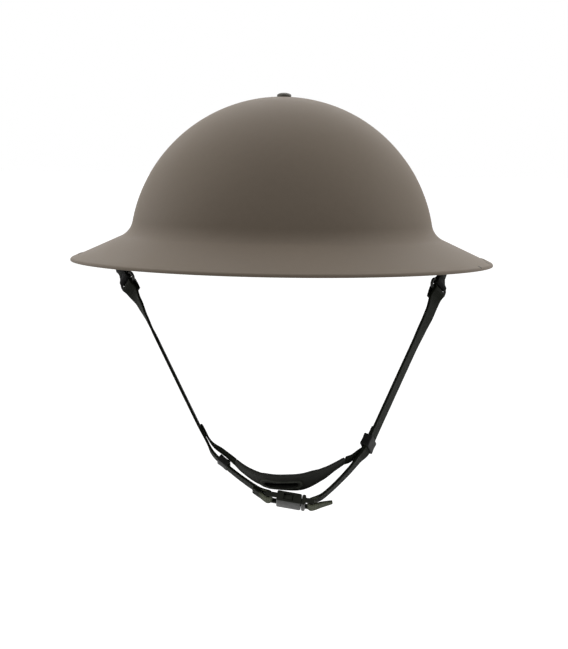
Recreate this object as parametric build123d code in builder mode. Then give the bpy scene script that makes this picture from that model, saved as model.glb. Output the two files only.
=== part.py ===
import math
import os

from build123d import *

os.makedirs("parts", exist_ok=True)

# The helmet stands as it is worn: +Z up, the front towards -Y, the wearer's left towards +X.
# The origin is the middle of the headband's lower edge, level with the crease above the brim.
# All lengths are millimetres, and all angles degrees.

# Pressed steel shell
dome_radius = 104.5
crown_height = 95.1
corner_height = 1.6
crease_radius = 14.0
brim_slope = 24.7
shell_thickness = 1.2
brim_side_width = 40.7
brim_front_width = 51.7
dome_length_share = 1.0556
overrun = 20.0

# Folded strip round the edge of the brim
rim_depth = 5.0
rim_sheet = 0.4
rim_gap = 0.06
rim_joint_gap = 0.7
rim_joint_bearing = -8.0

# Bolt through the crown and what it clamps
bolt_head_radius = 4.9
bolt_head_height = 2.7
bolt_round_share = 0.6
bolt_slot_width = 1.2
bolt_slot_depth = 1.1
bolt_radius = 2.4
bolt_clearance = 0.1
bolt_overhang = 1.2
gasket_radius = 10.0
gasket_thickness = 2.0
pad_radius = 38.0
pad_thickness = 7.0
pad_round_share = 0.3
washer_radius = 8.5
washer_thickness = 1.0
nut_width = 8.0
nut_height = 3.2
seat_gap = 0.05

# Spring-steel liner bands and the headband that they carry
hoop_width = 14.0
hoop_thickness = 0.8
hoop_flat = 9.0
hoop_end_height = 1.5
headband_side_room = 16.75
headband_front_room = 9.85
headband_thickness = 1.6
headband_height = 24.0
rivet_radius = 1.6
rivet_head_radius = 2.6
rivet_head_height = 1.3
rivet_inset = 4.4
buffer_side_gap = 0.4
buffer_gap = 0.3

# Leathercloth cap and leather sweatband inside the headband
layer_gap = 0.1
cap_thickness = 1.2
cap_headroom = 10.1
cap_shoulder_drop = 2.95
cap_skirt_bottom = 6.0
cap_hole_radius = 13.0
tongue_count = 8
tongue_slot_width = 6.0
tongue_slot_shares = (0.36, 0.80)
patch_radius = 24.0
patch_thickness = 1.4
sweatband_thickness = 1.5
sweatband_drop = 1.8
sweatband_round_share = 0.4

# Chin strap lugs under the brim
lug_standoff = 9.08
stud_drop = 10.5
stud_radius = 2.0
stud_head_radius = 2.9
stud_head_height = 1.1
lug_sheet = 1.5
lug_width = 12.0
lug_flange_length = 12.0
lug_ear_radius = 4.2
weld_gap = 0.2
running_gap = 0.05
face_gap = 0.3
swivel_sheet = 1.2
swivel_radius = 5.0
knuckle_radius = 2.1
knuckle_length = 12.0
wire_radius = 1.0
bail_length = 7.0
loop_side_room = 2.8
loop_corner = 2.3
bail_lean = 13.0

# Webbing of the chin strap
strap_lean = 23.5
strap_drop = 178.0
webbing_width = 14.0
webbing_thickness = 1.6
eye_gap = 0.1
open_eye_gap = 0.5
eye_wall = 1.4
eye_bite_share = 0.9
tab_length = 9.4
tab_thickness = 3.0
ring_length = 5.6
ring_turns = {"left": 30.0, "right": 25.0}
arm_width = 8.0
arm_thickness = 1.4
arm_gap = 0.3
tip_width_share = 0.45
fold_tail_share = 0.8

# Sleeves that slide on the webbing
slide_length = 8.0
slide_wall = 1.2
slide_gap = 0.3

# Chin cup
cup_thickness = 2.4
cup_width = 17.0
cup_hole_length = 23.0
cup_hole_width = 5.0
lining_thickness = 1.2
lining_gap = 0.5
lining_width_share = 0.75

# Side-release buckle under the chin
buckle_slope = 9.5
buckle_side_gap = 0.6
buckle_height = 6.8
buckle_wall = 1.4
buckle_round_share = 0.8
socket_length = 16.5
socket_bar_reach = 5.8
window_length = 6.6
plug_base = 2.6
plug_bar_reach = 7.0
buckle_bar_radius = 1.25
rail_width = 1.7
rail_height = 3.2
guide_width = 4.0
prong_width = 3.0
prong_height = 3.5
prong_reach = 11.0
barb_length = 5.0
barb_height = 1.5
prong_gap = 0.3

# The dome's arc, the crease and the brim's slope in the half section
dome_centre = crown_height - dome_radius
corner_reach = math.sqrt(dome_radius**2 - (corner_height - dome_centre) ** 2)
slope_sine = math.sin(math.radians(brim_slope))
slope_cosine = math.cos(math.radians(brim_slope))
brim_normal = Vector(slope_sine, slope_cosine)
brim_run = Vector(slope_cosine, -slope_sine)
brim_corner = Vector(corner_reach, corner_height)
dome_middle = Vector(0, dome_centre)
crease_base = brim_corner - dome_middle + brim_normal * crease_radius
crease_along = crease_base.dot(brim_run)
crease_shift = math.sqrt((dome_radius + crease_radius) ** 2 - crease_base.length**2 + crease_along**2)
crease_middle = dome_middle + crease_base + brim_run * (crease_shift - crease_along)
crease_bearing = math.degrees(math.atan2(crease_middle.Y - dome_centre, crease_middle.X))


# The oval of the brim's edge, and the lugs' middle, are measured out from the crease
brim_side_reach = corner_reach + brim_side_width
brim_front_reach = corner_reach + brim_front_width
blank_reach = max(brim_side_reach, brim_front_reach)
lug_half_span = corner_reach + lug_standoff


def skin_height(reach, outward):
    """Height of the brim at a reach from the axis, on a face moved outward from the outer one."""
    return corner_height + (outward - (reach - corner_reach) * slope_sine) / slope_cosine


def draw_skin(outward, reach):
    """Draws the half section of one face of the shell, from the crown to a reach on the brim."""
    CenterArc(dome_middle, dome_radius + outward, crease_bearing, 90 - crease_bearing)
    sweep = 90 - brim_slope - crease_bearing
    CenterArc(crease_middle, crease_radius - outward, 180 + crease_bearing, sweep)
    slope_start = crease_middle - brim_normal * (crease_radius - outward)
    slope_end = Vector(reach, skin_height(reach, outward))
    Line(slope_start, slope_end)
    return slope_end


def brim_band(upper, lower, side, front, side_inner, front_inner):
    """A band of the brim between two faces and two ovals, as a part of its own."""
    reach = max(side, front) + overrun
    with BuildPart() as band:
        with BuildSketch(Plane.XZ):
            with BuildLine():
                Polyline(
                    (side_inner - overrun, skin_height(side_inner - overrun, upper)),
                    (reach, skin_height(reach, upper)),
                    (reach, skin_height(reach, lower)),
                    (side_inner - overrun, skin_height(side_inner - overrun, lower)),
                    close=True,
                )
            make_face()
        revolve(axis=Axis.Z)
        scale(by=(1, dome_length_share, 1))
        with BuildSketch(Plane.XY):
            Ellipse(side, front)
            Ellipse(side_inner, front_inner, mode=Mode.SUBTRACT)
        extrude(amount=crown_height, both=True, mode=Mode.INTERSECT)
    return band.part


# Inside of the dome, which trims what bears against it
dome_room_inset = shell_thickness + buffer_gap
with BuildPart() as dome_room:
    with BuildSketch(Plane.XZ):
        with BuildLine():
            room_end = draw_skin(-dome_room_inset, blank_reach)
            Polyline(room_end, (0, room_end.Y), (0, crown_height - dome_room_inset))
        make_face()
    revolve(axis=Axis.Z)
    scale(by=(1, dome_length_share, 1))

with BuildPart() as shell:
    with BuildSketch(Plane.XZ):
        with BuildLine():
            outer_end = draw_skin(0, blank_reach)
            inner_end = draw_skin(-shell_thickness, blank_reach)
            Line(outer_end, inner_end)
            Line((0, crown_height), (0, crown_height - shell_thickness))
        make_face()
    revolve(axis=Axis.Z)
    scale(by=(1, dome_length_share, 1))
    with BuildSketch(Plane.XY):
        Ellipse(brim_side_reach, brim_front_reach)
    extrude(amount=crown_height + overrun, both=True, mode=Mode.INTERSECT)
    with BuildSketch(Plane.XY):
        Circle(bolt_radius + bolt_clearance)
    extrude(amount=crown_height + overrun, mode=Mode.SUBTRACT)

# The strip is folded over the edge, with a small gap round the sheet that it grips
rim_channel = brim_band(
    rim_gap,
    -shell_thickness - rim_gap,
    brim_side_reach + rim_gap,
    brim_front_reach + rim_gap,
    brim_side_reach - rim_depth - overrun,
    brim_front_reach - rim_depth - overrun,
)
rim_block = brim_band(
    rim_gap + rim_sheet,
    -shell_thickness - rim_gap - rim_sheet,
    brim_side_reach + rim_gap + rim_sheet,
    brim_front_reach + rim_gap + rim_sheet,
    brim_side_reach - rim_depth,
    brim_front_reach - rim_depth,
)
with BuildPart() as rim_strip:
    add(rim_block)
    add(rim_channel, mode=Mode.SUBTRACT)
    with BuildSketch(Plane.XY.rotated((0, 0, rim_joint_bearing))):
        with Locations((brim_side_reach, 0)):
            Rectangle(rim_depth + overrun, rim_joint_gap)
    extrude(amount=crown_height, both=True, mode=Mode.SUBTRACT)

# The crown: bolt head outside, then gasket, two bands, pad, washer and nut inside
inner_radius = dome_radius - shell_thickness
gasket_drop = inner_radius - math.sqrt(inner_radius**2 - gasket_radius**2)
gasket_top = crown_height - shell_thickness - gasket_drop - seat_gap
fore_aft_top = gasket_top - gasket_thickness - seat_gap
lateral_top = fore_aft_top - hoop_thickness - seat_gap
pad_top = lateral_top - hoop_thickness - seat_gap
washer_top = pad_top - pad_thickness - seat_gap
nut_top = washer_top - washer_thickness - seat_gap
bolt_end = nut_top - nut_height - bolt_overhang

with BuildPart() as crown_bolt:
    with BuildSketch(Plane.XY.offset(crown_height)):
        Circle(bolt_head_radius)
    extrude(amount=bolt_head_height)
    fillet(crown_bolt.edges().sort_by(Axis.Z)[-1], bolt_head_height * bolt_round_share)
    with BuildSketch(Plane.XY.offset(crown_height + bolt_head_height - bolt_slot_depth)):
        Rectangle(bolt_head_radius * 2 + bolt_slot_width, bolt_slot_width)
    extrude(amount=bolt_head_height, mode=Mode.SUBTRACT)
    with BuildSketch(Plane.XY.offset(bolt_end)):
        Circle(bolt_radius)
    extrude(amount=crown_height - bolt_end)

with BuildPart() as crown_gasket:
    with BuildSketch(Plane.XY.offset(gasket_top - gasket_thickness)):
        Circle(gasket_radius)
        Circle(bolt_radius + bolt_clearance, mode=Mode.SUBTRACT)
    extrude(amount=gasket_thickness)

with BuildPart() as crown_washer:
    with BuildSketch(Plane.XY.offset(washer_top - washer_thickness)):
        Circle(washer_radius)
        Circle(bolt_radius + bolt_clearance, mode=Mode.SUBTRACT)
    extrude(amount=washer_thickness)

with BuildPart() as crown_nut:
    with BuildSketch(Plane.XY.offset(nut_top - nut_height)):
        RegularPolygon(nut_width / 2, 6, major_radius=False)
        Circle(bolt_radius + bolt_clearance, mode=Mode.SUBTRACT)
    extrude(amount=nut_height)

# The headband stands inside the dome with room for its bands and buffers
room_radius = dome_radius - dome_room_inset
room_reach = math.sqrt(room_radius**2 - (headband_height / 2 - dome_centre) ** 2)
headband_side = room_reach - headband_side_room
headband_front = room_reach * dome_length_share - headband_front_room

# Each band follows the dome from a flat at the crown and ends in two straight legs
headband_share = headband_front / headband_side
side_leg = headband_side + headband_thickness + seat_gap + hoop_thickness
front_leg = headband_front + headband_thickness * headband_share + seat_gap + hoop_thickness
buffer_radius = headband_height / 2 - rivet_inset - rivet_head_radius - buffer_side_gap

# The cap's skirt ends below the shoulder where the front band's leg meets its arc
fore_aft_radius = math.hypot(fore_aft_top - dome_centre, hoop_flat)
shoulder_height = dome_centre + math.sqrt(fore_aft_radius**2 - (front_leg / dome_length_share) ** 2)
cap_skirt_top = shoulder_height - cap_shoulder_drop
cap_rise = bolt_end - cap_headroom - cap_skirt_top


def draw_hoop(top, leg, length_share, inset):
    """Draws the closed outline under a band: flat crown, arc along the dome, straight legs."""
    radius = math.hypot(top - dome_centre, hoop_flat) - inset
    side = leg - inset
    arc_end = math.degrees(math.acos(side / (radius * length_share)))
    flat = math.sqrt(radius**2 - (top - inset - dome_centre) ** 2) * length_share
    arc_start = math.degrees(math.acos(flat / (radius * length_share)))
    arc_sweep = arc_start - arc_end
    middle = (0, dome_centre)
    EllipticalCenterArc(middle, radius * length_share, radius, arc_end, arc_size=arc_sweep)
    EllipticalCenterArc(middle, radius * length_share, radius, 180 - arc_start, arc_size=arc_sweep)
    foot = hoop_end_height - inset
    shoulder = dome_centre + radius * math.sin(math.radians(arc_end))
    Line((flat, top - inset), (-flat, top - inset))
    Polyline((side, shoulder), (side, foot), (-side, foot), (-side, shoulder))


def hoop_part(section_plane, hole_plane, top, leg, length_share):
    """A band bent from flat strip, standing on a vertical plane, with bolt and rivet holes."""
    with BuildPart() as band:
        with BuildSketch(section_plane):
            with BuildLine():
                draw_hoop(top, leg, length_share, 0)
            make_face()
            with BuildLine():
                draw_hoop(top, leg, length_share, hoop_thickness)
            make_face(mode=Mode.SUBTRACT)
        extrude(amount=hoop_width / 2, both=True)
        with BuildSketch(Plane.XY):
            Circle(bolt_radius + bolt_clearance)
        extrude(amount=crown_height, mode=Mode.SUBTRACT)
        with BuildSketch(section_plane):
            with Locations((0, hoop_end_height)):
                Rectangle((leg - hoop_thickness) * 2, hoop_thickness * 2)
        extrude(amount=hoop_width, both=True, mode=Mode.SUBTRACT)
        with BuildSketch(hole_plane):
            with Locations((0, rivet_inset), (0, headband_height - rivet_inset)):
                Circle(rivet_radius + seat_gap)
        extrude(amount=leg + overrun, both=True, mode=Mode.SUBTRACT)
    return band.part


with BuildPart() as cross_band_fore_aft:
    add(hoop_part(Plane.YZ, Plane.XZ, fore_aft_top, front_leg, dome_length_share))

with BuildPart() as cross_band_lateral:
    add(hoop_part(Plane.XZ, Plane.YZ, lateral_top, side_leg, 1))

with BuildPart() as crown_pad:
    pad_arc_radius = math.hypot(pad_top - dome_centre, hoop_flat)
    pad_arc_end = math.degrees(math.acos(pad_radius / pad_arc_radius))
    pad_arc_start = math.degrees(math.acos(hoop_flat / pad_arc_radius))
    with BuildSketch(Plane.XZ):
        with BuildLine():
            pad_arc = CenterArc((0, dome_centre), pad_arc_radius, pad_arc_end, pad_arc_start - pad_arc_end)
            Polyline(pad_arc @ 1, (0, pad_top), (0, pad_top - pad_thickness), pad_arc @ 1 - Vector(0, pad_thickness))
            lower_arc = CenterArc(
                (0, dome_centre - pad_thickness),
                pad_arc_radius,
                pad_arc_end,
                pad_arc_start - pad_arc_end,
            )
            Line(pad_arc @ 0, lower_arc @ 0)
        make_face()
    revolve(axis=Axis.Z)
    with BuildSketch(Plane.XY):
        Circle(bolt_radius + bolt_clearance)
    extrude(amount=crown_height, mode=Mode.SUBTRACT)
    fillet(crown_pad.edges().filter_by(GeomType.CIRCLE).group_by(SortBy.LENGTH)[-1], pad_thickness * pad_round_share)

with BuildPart() as headband:
    with BuildSketch(Plane.XY):
        Ellipse(headband_side + headband_thickness, headband_front + headband_thickness * headband_share)
        Ellipse(headband_side, headband_front, mode=Mode.SUBTRACT)
    extrude(amount=headband_height)
    for cross_plane in (Plane.XZ, Plane.YZ):
        with BuildSketch(cross_plane):
            with Locations((0, rivet_inset), (0, headband_height - rivet_inset)):
                Circle(rivet_radius + seat_gap)
        extrude(amount=headband_front + overrun, both=True, mode=Mode.SUBTRACT)


# Four legs, each with two rivets: heads outside the band, shanks flush with the headband inside
leg_planes = (
    (Plane.YZ, side_leg, headband_side),
    (Plane.YZ, -side_leg, -headband_side),
    (Plane.XZ, front_leg, headband_front),
    (Plane.XZ, -front_leg, -headband_front),
)
with BuildPart() as band_rivets:
    for leg_plane, leg_face, shank_start in leg_planes:
        outward = math.copysign(1, leg_face) * (-1 if leg_plane == Plane.XZ else 1)
        for rivet_height in (rivet_inset, headband_height - rivet_inset):
            with BuildSketch(leg_plane.offset(outward * abs(shank_start))):
                with Locations((0, rivet_height)):
                    Circle(rivet_radius)
            extrude(amount=outward * (abs(leg_face) - abs(shank_start)))
            with BuildSketch(leg_plane.offset(outward * abs(leg_face))):
                with Locations((0, rivet_height)):
                    Circle(rivet_head_radius)
            extrude(amount=outward * rivet_head_height)

with BuildPart() as rubber_buffers:
    for leg_plane, leg_face, shank_start in leg_planes:
        outward = math.copysign(1, leg_face) * (-1 if leg_plane == Plane.XZ else 1)
        with BuildSketch(leg_plane.offset(outward * (abs(leg_face) + seat_gap))):
            with Locations((0, headband_height / 2)):
                Circle(buffer_radius)
        extrude(amount=outward * overrun)
    add(dome_room.part, mode=Mode.INTERSECT)

# Skirt and tongues of the cap, cut round and then drawn out to the oval of the headband
cap_outer = headband_side - layer_gap
cap_inner = cap_outer - cap_thickness
with BuildPart() as liner_cap:
    with BuildSketch(Plane.XZ):
        with BuildLine():
            EllipticalCenterArc((0, cap_skirt_top), cap_outer, cap_rise, 0, arc_size=90)
            EllipticalCenterArc((0, cap_skirt_top), cap_inner, cap_rise - cap_thickness, 0, arc_size=90)
            Polyline(
                (cap_outer, cap_skirt_top),
                (cap_outer, cap_skirt_bottom),
                (cap_inner, cap_skirt_bottom),
                (cap_inner, cap_skirt_top),
            )
            Line((0, cap_skirt_top + cap_rise), (0, cap_skirt_top + cap_rise - cap_thickness))
        make_face()
    revolve(axis=Axis.Z)
    slot_start, slot_end = (share * cap_outer for share in tongue_slot_shares)
    with BuildSketch(Plane.XY.offset(cap_skirt_top)):
        Circle(cap_hole_radius)
        with PolarLocations((slot_start + slot_end) / 2, tongue_count, start_angle=180 / tongue_count):
            SlotOverall(slot_end - slot_start, tongue_slot_width)
    extrude(amount=cap_rise + overrun, mode=Mode.SUBTRACT)
    scale(by=(1, headband_share, 1))

with BuildPart() as crown_patch:
    patch_base = layer_gap
    patch_arc_side = cap_outer + patch_base
    patch_arc_rise = cap_rise + patch_base
    patch_start = math.degrees(math.acos(patch_radius / patch_arc_side))
    with BuildSketch(Plane.XZ):
        with BuildLine():
            patch_sweep = 90 - patch_start
            under_arc = EllipticalCenterArc(
                (0, cap_skirt_top), patch_arc_side, patch_arc_rise, patch_start, arc_size=patch_sweep
            )
            patch_middle = (0, cap_skirt_top + patch_thickness)
            upper_arc = EllipticalCenterArc(
                patch_middle, patch_arc_side, patch_arc_rise, patch_start, arc_size=patch_sweep
            )
            Line(under_arc @ 0, upper_arc @ 0)
            Line(under_arc @ 1, upper_arc @ 1)
        make_face()
    revolve(axis=Axis.Z)
    scale(by=(1, headband_share, 1))

sweatband_outer = cap_inner - layer_gap
sweatband_inner = sweatband_outer - sweatband_thickness
sweatband_lip = headband_side + headband_thickness + layer_gap + sweatband_thickness
with BuildPart() as sweatband:
    with BuildSketch(Plane.XZ):
        with BuildLine():
            Polyline(
                (sweatband_inner, headband_height),
                (sweatband_outer, headband_height),
                (sweatband_outer, -layer_gap),
                (sweatband_lip - sweatband_thickness, -layer_gap),
                (sweatband_lip - sweatband_thickness, hoop_end_height - layer_gap - seat_gap),
                (sweatband_lip, hoop_end_height - layer_gap - seat_gap),
                (sweatband_lip, -sweatband_drop),
                (sweatband_inner, -sweatband_drop),
                close=True,
            )
        make_face()
    revolve(axis=Axis.Z)
    scale(by=(1, headband_share, 1))
    fillet(sweatband.edges().group_by(Axis.Z)[0], sweatband_drop * sweatband_round_share)

# The chin strap hangs in a plane through both studs that leans to the front.
# In it, a place is given across (towards +X), down from the studs, and out to the front.
stud_line = Vector(0, 0, -stud_drop)
lean_sine = math.sin(math.radians(strap_lean))
lean_cosine = math.cos(math.radians(strap_lean))
hang_plane = Plane(stud_line, x_dir=(1, 0, 0), z_dir=(0, -lean_cosine, lean_sine))


def hung(across, down, out=0):
    """A point of the chin strap, in the frame of the whole helmet."""
    return hang_plane.from_local_coords(Vector(across, -down, out))


def tape_plane(point, run, turn):
    """Plane square to a flat tape at a point, with the tape's width along its X, turned about the run."""
    flat = (hang_plane.z_dir - run * hang_plane.z_dir.dot(run)).normalized()
    return Plane(point, x_dir=flat.rotate(Axis((0, 0, 0), run), turn), z_dir=run)


def tape_planes(points, turns):
    """Planes square to a flat tape at each of its points."""
    planes = []
    for index, point in enumerate(points):
        before = points[max(index - 1, 0)]
        after = points[min(index + 1, len(points) - 1)]
        planes.append(tape_plane(point, (after - before).normalized(), turns[index]))
    return planes


def share_points(shares):
    """Points of the strap from shares of the half span across, and of the drop down and out."""
    return [hung(row[0] * lug_half_span, row[1] * strap_drop, row[2] * strap_drop) for row in shares]


# Route shares: across the lugs' half span, down the strap's drop, and out along the same drop
route_shares = {
    "left": [
        (0.898, 0.247, 0),
        (0.854, 0.309, 0),
        (0.793, 0.396, 0),
        (0.575, 0.713, 0),
        (0.518, 0.796, 0),
        (0.470, 0.832, -0.002),
        (0.423, 0.870, -0.004),
        (0.367, 0.909, -0.008),
        (0.310, 0.945, -0.012),
        (0.252, 0.976, -0.014),
    ],
    "right": [
        (-0.856, 0.223, 0),
        (-0.804, 0.289, 0),
        (-0.748, 0.362, 0),
        (-0.473, 0.713, 0),
        (-0.429, 0.767, -0.001),
        (-0.381, 0.822, -0.003),
        (-0.119, 0.951, -0.014),
    ],
}
route_turns = {
    "left": [22, 17, 13, 13, 13, 6, 3, 1, 0, 0],
    "right": [-8, 2, 8, 8, 6, 3, 0],
}
# Each stretch of a strap: the count of its first and last station, and whether it runs straight
route_stretch_counts = {
    "left": [(0, 3, False), (3, 5, True), (5, 11, False)],
    "right": [(0, 3, False), (3, 8, True)],
}
arm_shares = {
    "left": [(0.460, 0.816, 0.014), (0.420, 0.838, 0.028)],
    "right": [(-0.386, 0.790, 0.019), (-0.319, 0.825, 0.038)],
}
arm_turns = {
    "left": [13, 13, 11, 12, 13],
    "right": [8, 6.3, 2, -6, -12],
}
# The station where an arm starts, and the share of the next stretch after which it leaves the strap
arm_station_count = {"left": 4, "right": 4}
arm_leave_share = {"left": 0.97, "right": 0.85}
cup_shares = [
    (-0.248, 0.866, 0.052),
    (-0.210, 0.889, 0.059),
    (-0.124, 0.922, 0.059),
    (-0.044, 0.937, 0.054),
    (0.053, 0.939, 0.048),
    (0.142, 0.934, 0.047),
    (0.257, 0.904, 0.052),
    (0.327, 0.876, 0.051),
    (0.385, 0.850, 0.043),
]
cup_width_shares = [0.44, 0.50, 0.68, 0.85, 0.97, 1.0, 0.74, 0.50, 0.44]
cup_turns = [-12, -16, -20, -20, -20, -20, -18, -15, -12]
cup_hole_share = (0.018, 0.942, 0.039)
buckle_mouth_share = (0.136, 0.998, -0.014)
slide_share = {"left": (4, 0.70, 13), "right": (6, 0.22, 3)}
tip_shares = [(0.262, 1.004, -0.014), (0.319, 0.995, -0.014)]

# The wearer's left is towards +X
sides = {"left": 1, "right": -1}
cup_planes = tape_planes(share_points(cup_shares), cup_turns)
knuckle_down = swivel_radius + knuckle_radius
loop_half_width = webbing_width / 2 + loop_side_room
buckle_depth = webbing_width + (buckle_wall + buckle_side_gap) * 2
bail_foot_across = lug_half_span - bail_length * math.sin(math.radians(bail_lean))
bail_foot_down = knuckle_down + bail_length * math.cos(math.radians(bail_lean))
tab_eye_radius = wire_radius + eye_gap + eye_wall
strap_eye_radius = wire_radius + eye_gap + webbing_thickness
buckle_eye_radius = buckle_bar_radius + eye_gap + webbing_thickness

# The buckle lies along a run that falls towards +X, with its socket's mouth at the plane's origin
buckle_tilt = math.radians(buckle_slope)
buckle_run = hung(math.cos(buckle_tilt), math.sin(buckle_tilt)) - hung(0, 0)
buckle_plane = Plane(share_points([buckle_mouth_share])[0], x_dir=buckle_run, z_dir=hang_plane.z_dir)
socket_bar = buckle_plane.from_local_coords(Vector(-socket_length - socket_bar_reach, 0, 0))
plug_bar = buckle_plane.from_local_coords(Vector(plug_bar_reach, 0, 0))
strap_bar = {"left": plug_bar, "right": socket_bar}

pieces = {
    "shell": shell,
    "rim_strip": rim_strip,
    "crown_bolt": crown_bolt,
    "crown_gasket": crown_gasket,
    "crown_washer": crown_washer,
    "crown_nut": crown_nut,
    "crown_pad": crown_pad,
    "cross_band_fore_aft": cross_band_fore_aft,
    "cross_band_lateral": cross_band_lateral,
    "headband": headband,
    "band_rivets": band_rivets,
    "rubber_buffers": rubber_buffers,
    "liner_cap": liner_cap,
    "crown_patch": crown_patch,
    "sweatband": sweatband,
}

# Brackets under the brim, with their studs and swivels
swivel_inner = lug_half_span - swivel_sheet / 2
ear_inner = lug_half_span + swivel_sheet / 2 + face_gap
ear_outer = ear_inner + lug_sheet
flange_end = ear_inner + lug_flange_length
flange_top = -shell_thickness - weld_gap
flange_under = flange_top - lug_sheet
ear_top = skin_height(ear_outer, flange_top)
for side, sign in sides.items():
    with BuildPart() as lug:
        with BuildSketch(Plane.XZ):
            with BuildLine():
                Polyline(
                    (sign * ear_inner, skin_height(ear_inner, flange_top)),
                    (sign * flange_end, skin_height(flange_end, flange_top)),
                    (sign * flange_end, skin_height(flange_end, flange_under)),
                    (sign * ear_inner, skin_height(ear_inner, flange_under)),
                    close=True,
                )
            make_face()
        extrude(amount=lug_width / 2, both=True)
        with BuildSketch(Plane.YZ.offset(sign * ear_inner)):
            with Locations((0, -stud_drop)):
                Circle(lug_ear_radius)
            with Locations((0, (ear_top - stud_drop) / 2)):
                Rectangle(lug_ear_radius * 2, ear_top + stud_drop)
            with Locations((0, -stud_drop)):
                Circle(stud_radius + running_gap, mode=Mode.SUBTRACT)
        extrude(amount=sign * lug_sheet)
    pieces[f"{side}_lug"] = lug

    stud_start = swivel_inner - face_gap
    stud_end = ear_outer + seat_gap
    with BuildPart() as stud:
        with BuildSketch(Plane.YZ.offset(sign * stud_start)):
            with Locations((0, -stud_drop)):
                Circle(stud_radius)
        extrude(amount=sign * (stud_end - stud_start))
        for head_face, outward in ((stud_start, -sign), (stud_end, sign)):
            with BuildSketch(Plane.YZ.offset(sign * head_face)):
                with Locations((0, -stud_drop)):
                    Circle(stud_head_radius)
            extrude(amount=outward * stud_head_height)
    pieces[f"{side}_stud"] = stud

    plate_plane = Plane(hung(sign * lug_half_span, 0), x_dir=hang_plane.z_dir, z_dir=(1, 0, 0))
    knuckle_plane = Plane(hung(sign * lug_half_span, knuckle_down), x_dir=(1, 0, 0), z_dir=hang_plane.z_dir)
    with BuildPart() as swivel:
        with BuildSketch(plate_plane):
            Circle(swivel_radius)
            with Locations((0, knuckle_down)):
                Rectangle(knuckle_length, knuckle_radius)
            make_hull()
        extrude(amount=swivel_sheet / 2, both=True)
        with BuildSketch(knuckle_plane):
            Circle(knuckle_radius)
        extrude(amount=knuckle_length / 2, both=True)
        with BuildSketch(knuckle_plane):
            Circle(wire_radius + running_gap)
        extrude(amount=knuckle_length, both=True, mode=Mode.SUBTRACT)
        with BuildSketch(plate_plane):
            Circle(stud_radius + running_gap)
        extrude(amount=swivel_sheet, both=True, mode=Mode.SUBTRACT)
    pieces[f"{side}_swivel"] = swivel


def wire_loop(start, across, along, length):
    """A closed rectangle of bent wire whose first bar is centred on a point."""
    loop_plane = Plane(start, x_dir=across, z_dir=across.cross(along))
    with BuildPart() as loop:
        with BuildLine(loop_plane) as loop_path:
            FilletPolyline(
                (-loop_half_width, 0),
                (loop_half_width, 0),
                (loop_half_width, length),
                (-loop_half_width, length),
                radius=loop_corner,
                close=True,
            )
        with BuildSketch(Plane(loop_path.line @ 0, z_dir=loop_path.line % 0)):
            Circle(wire_radius)
        sweep()
    return loop


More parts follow.
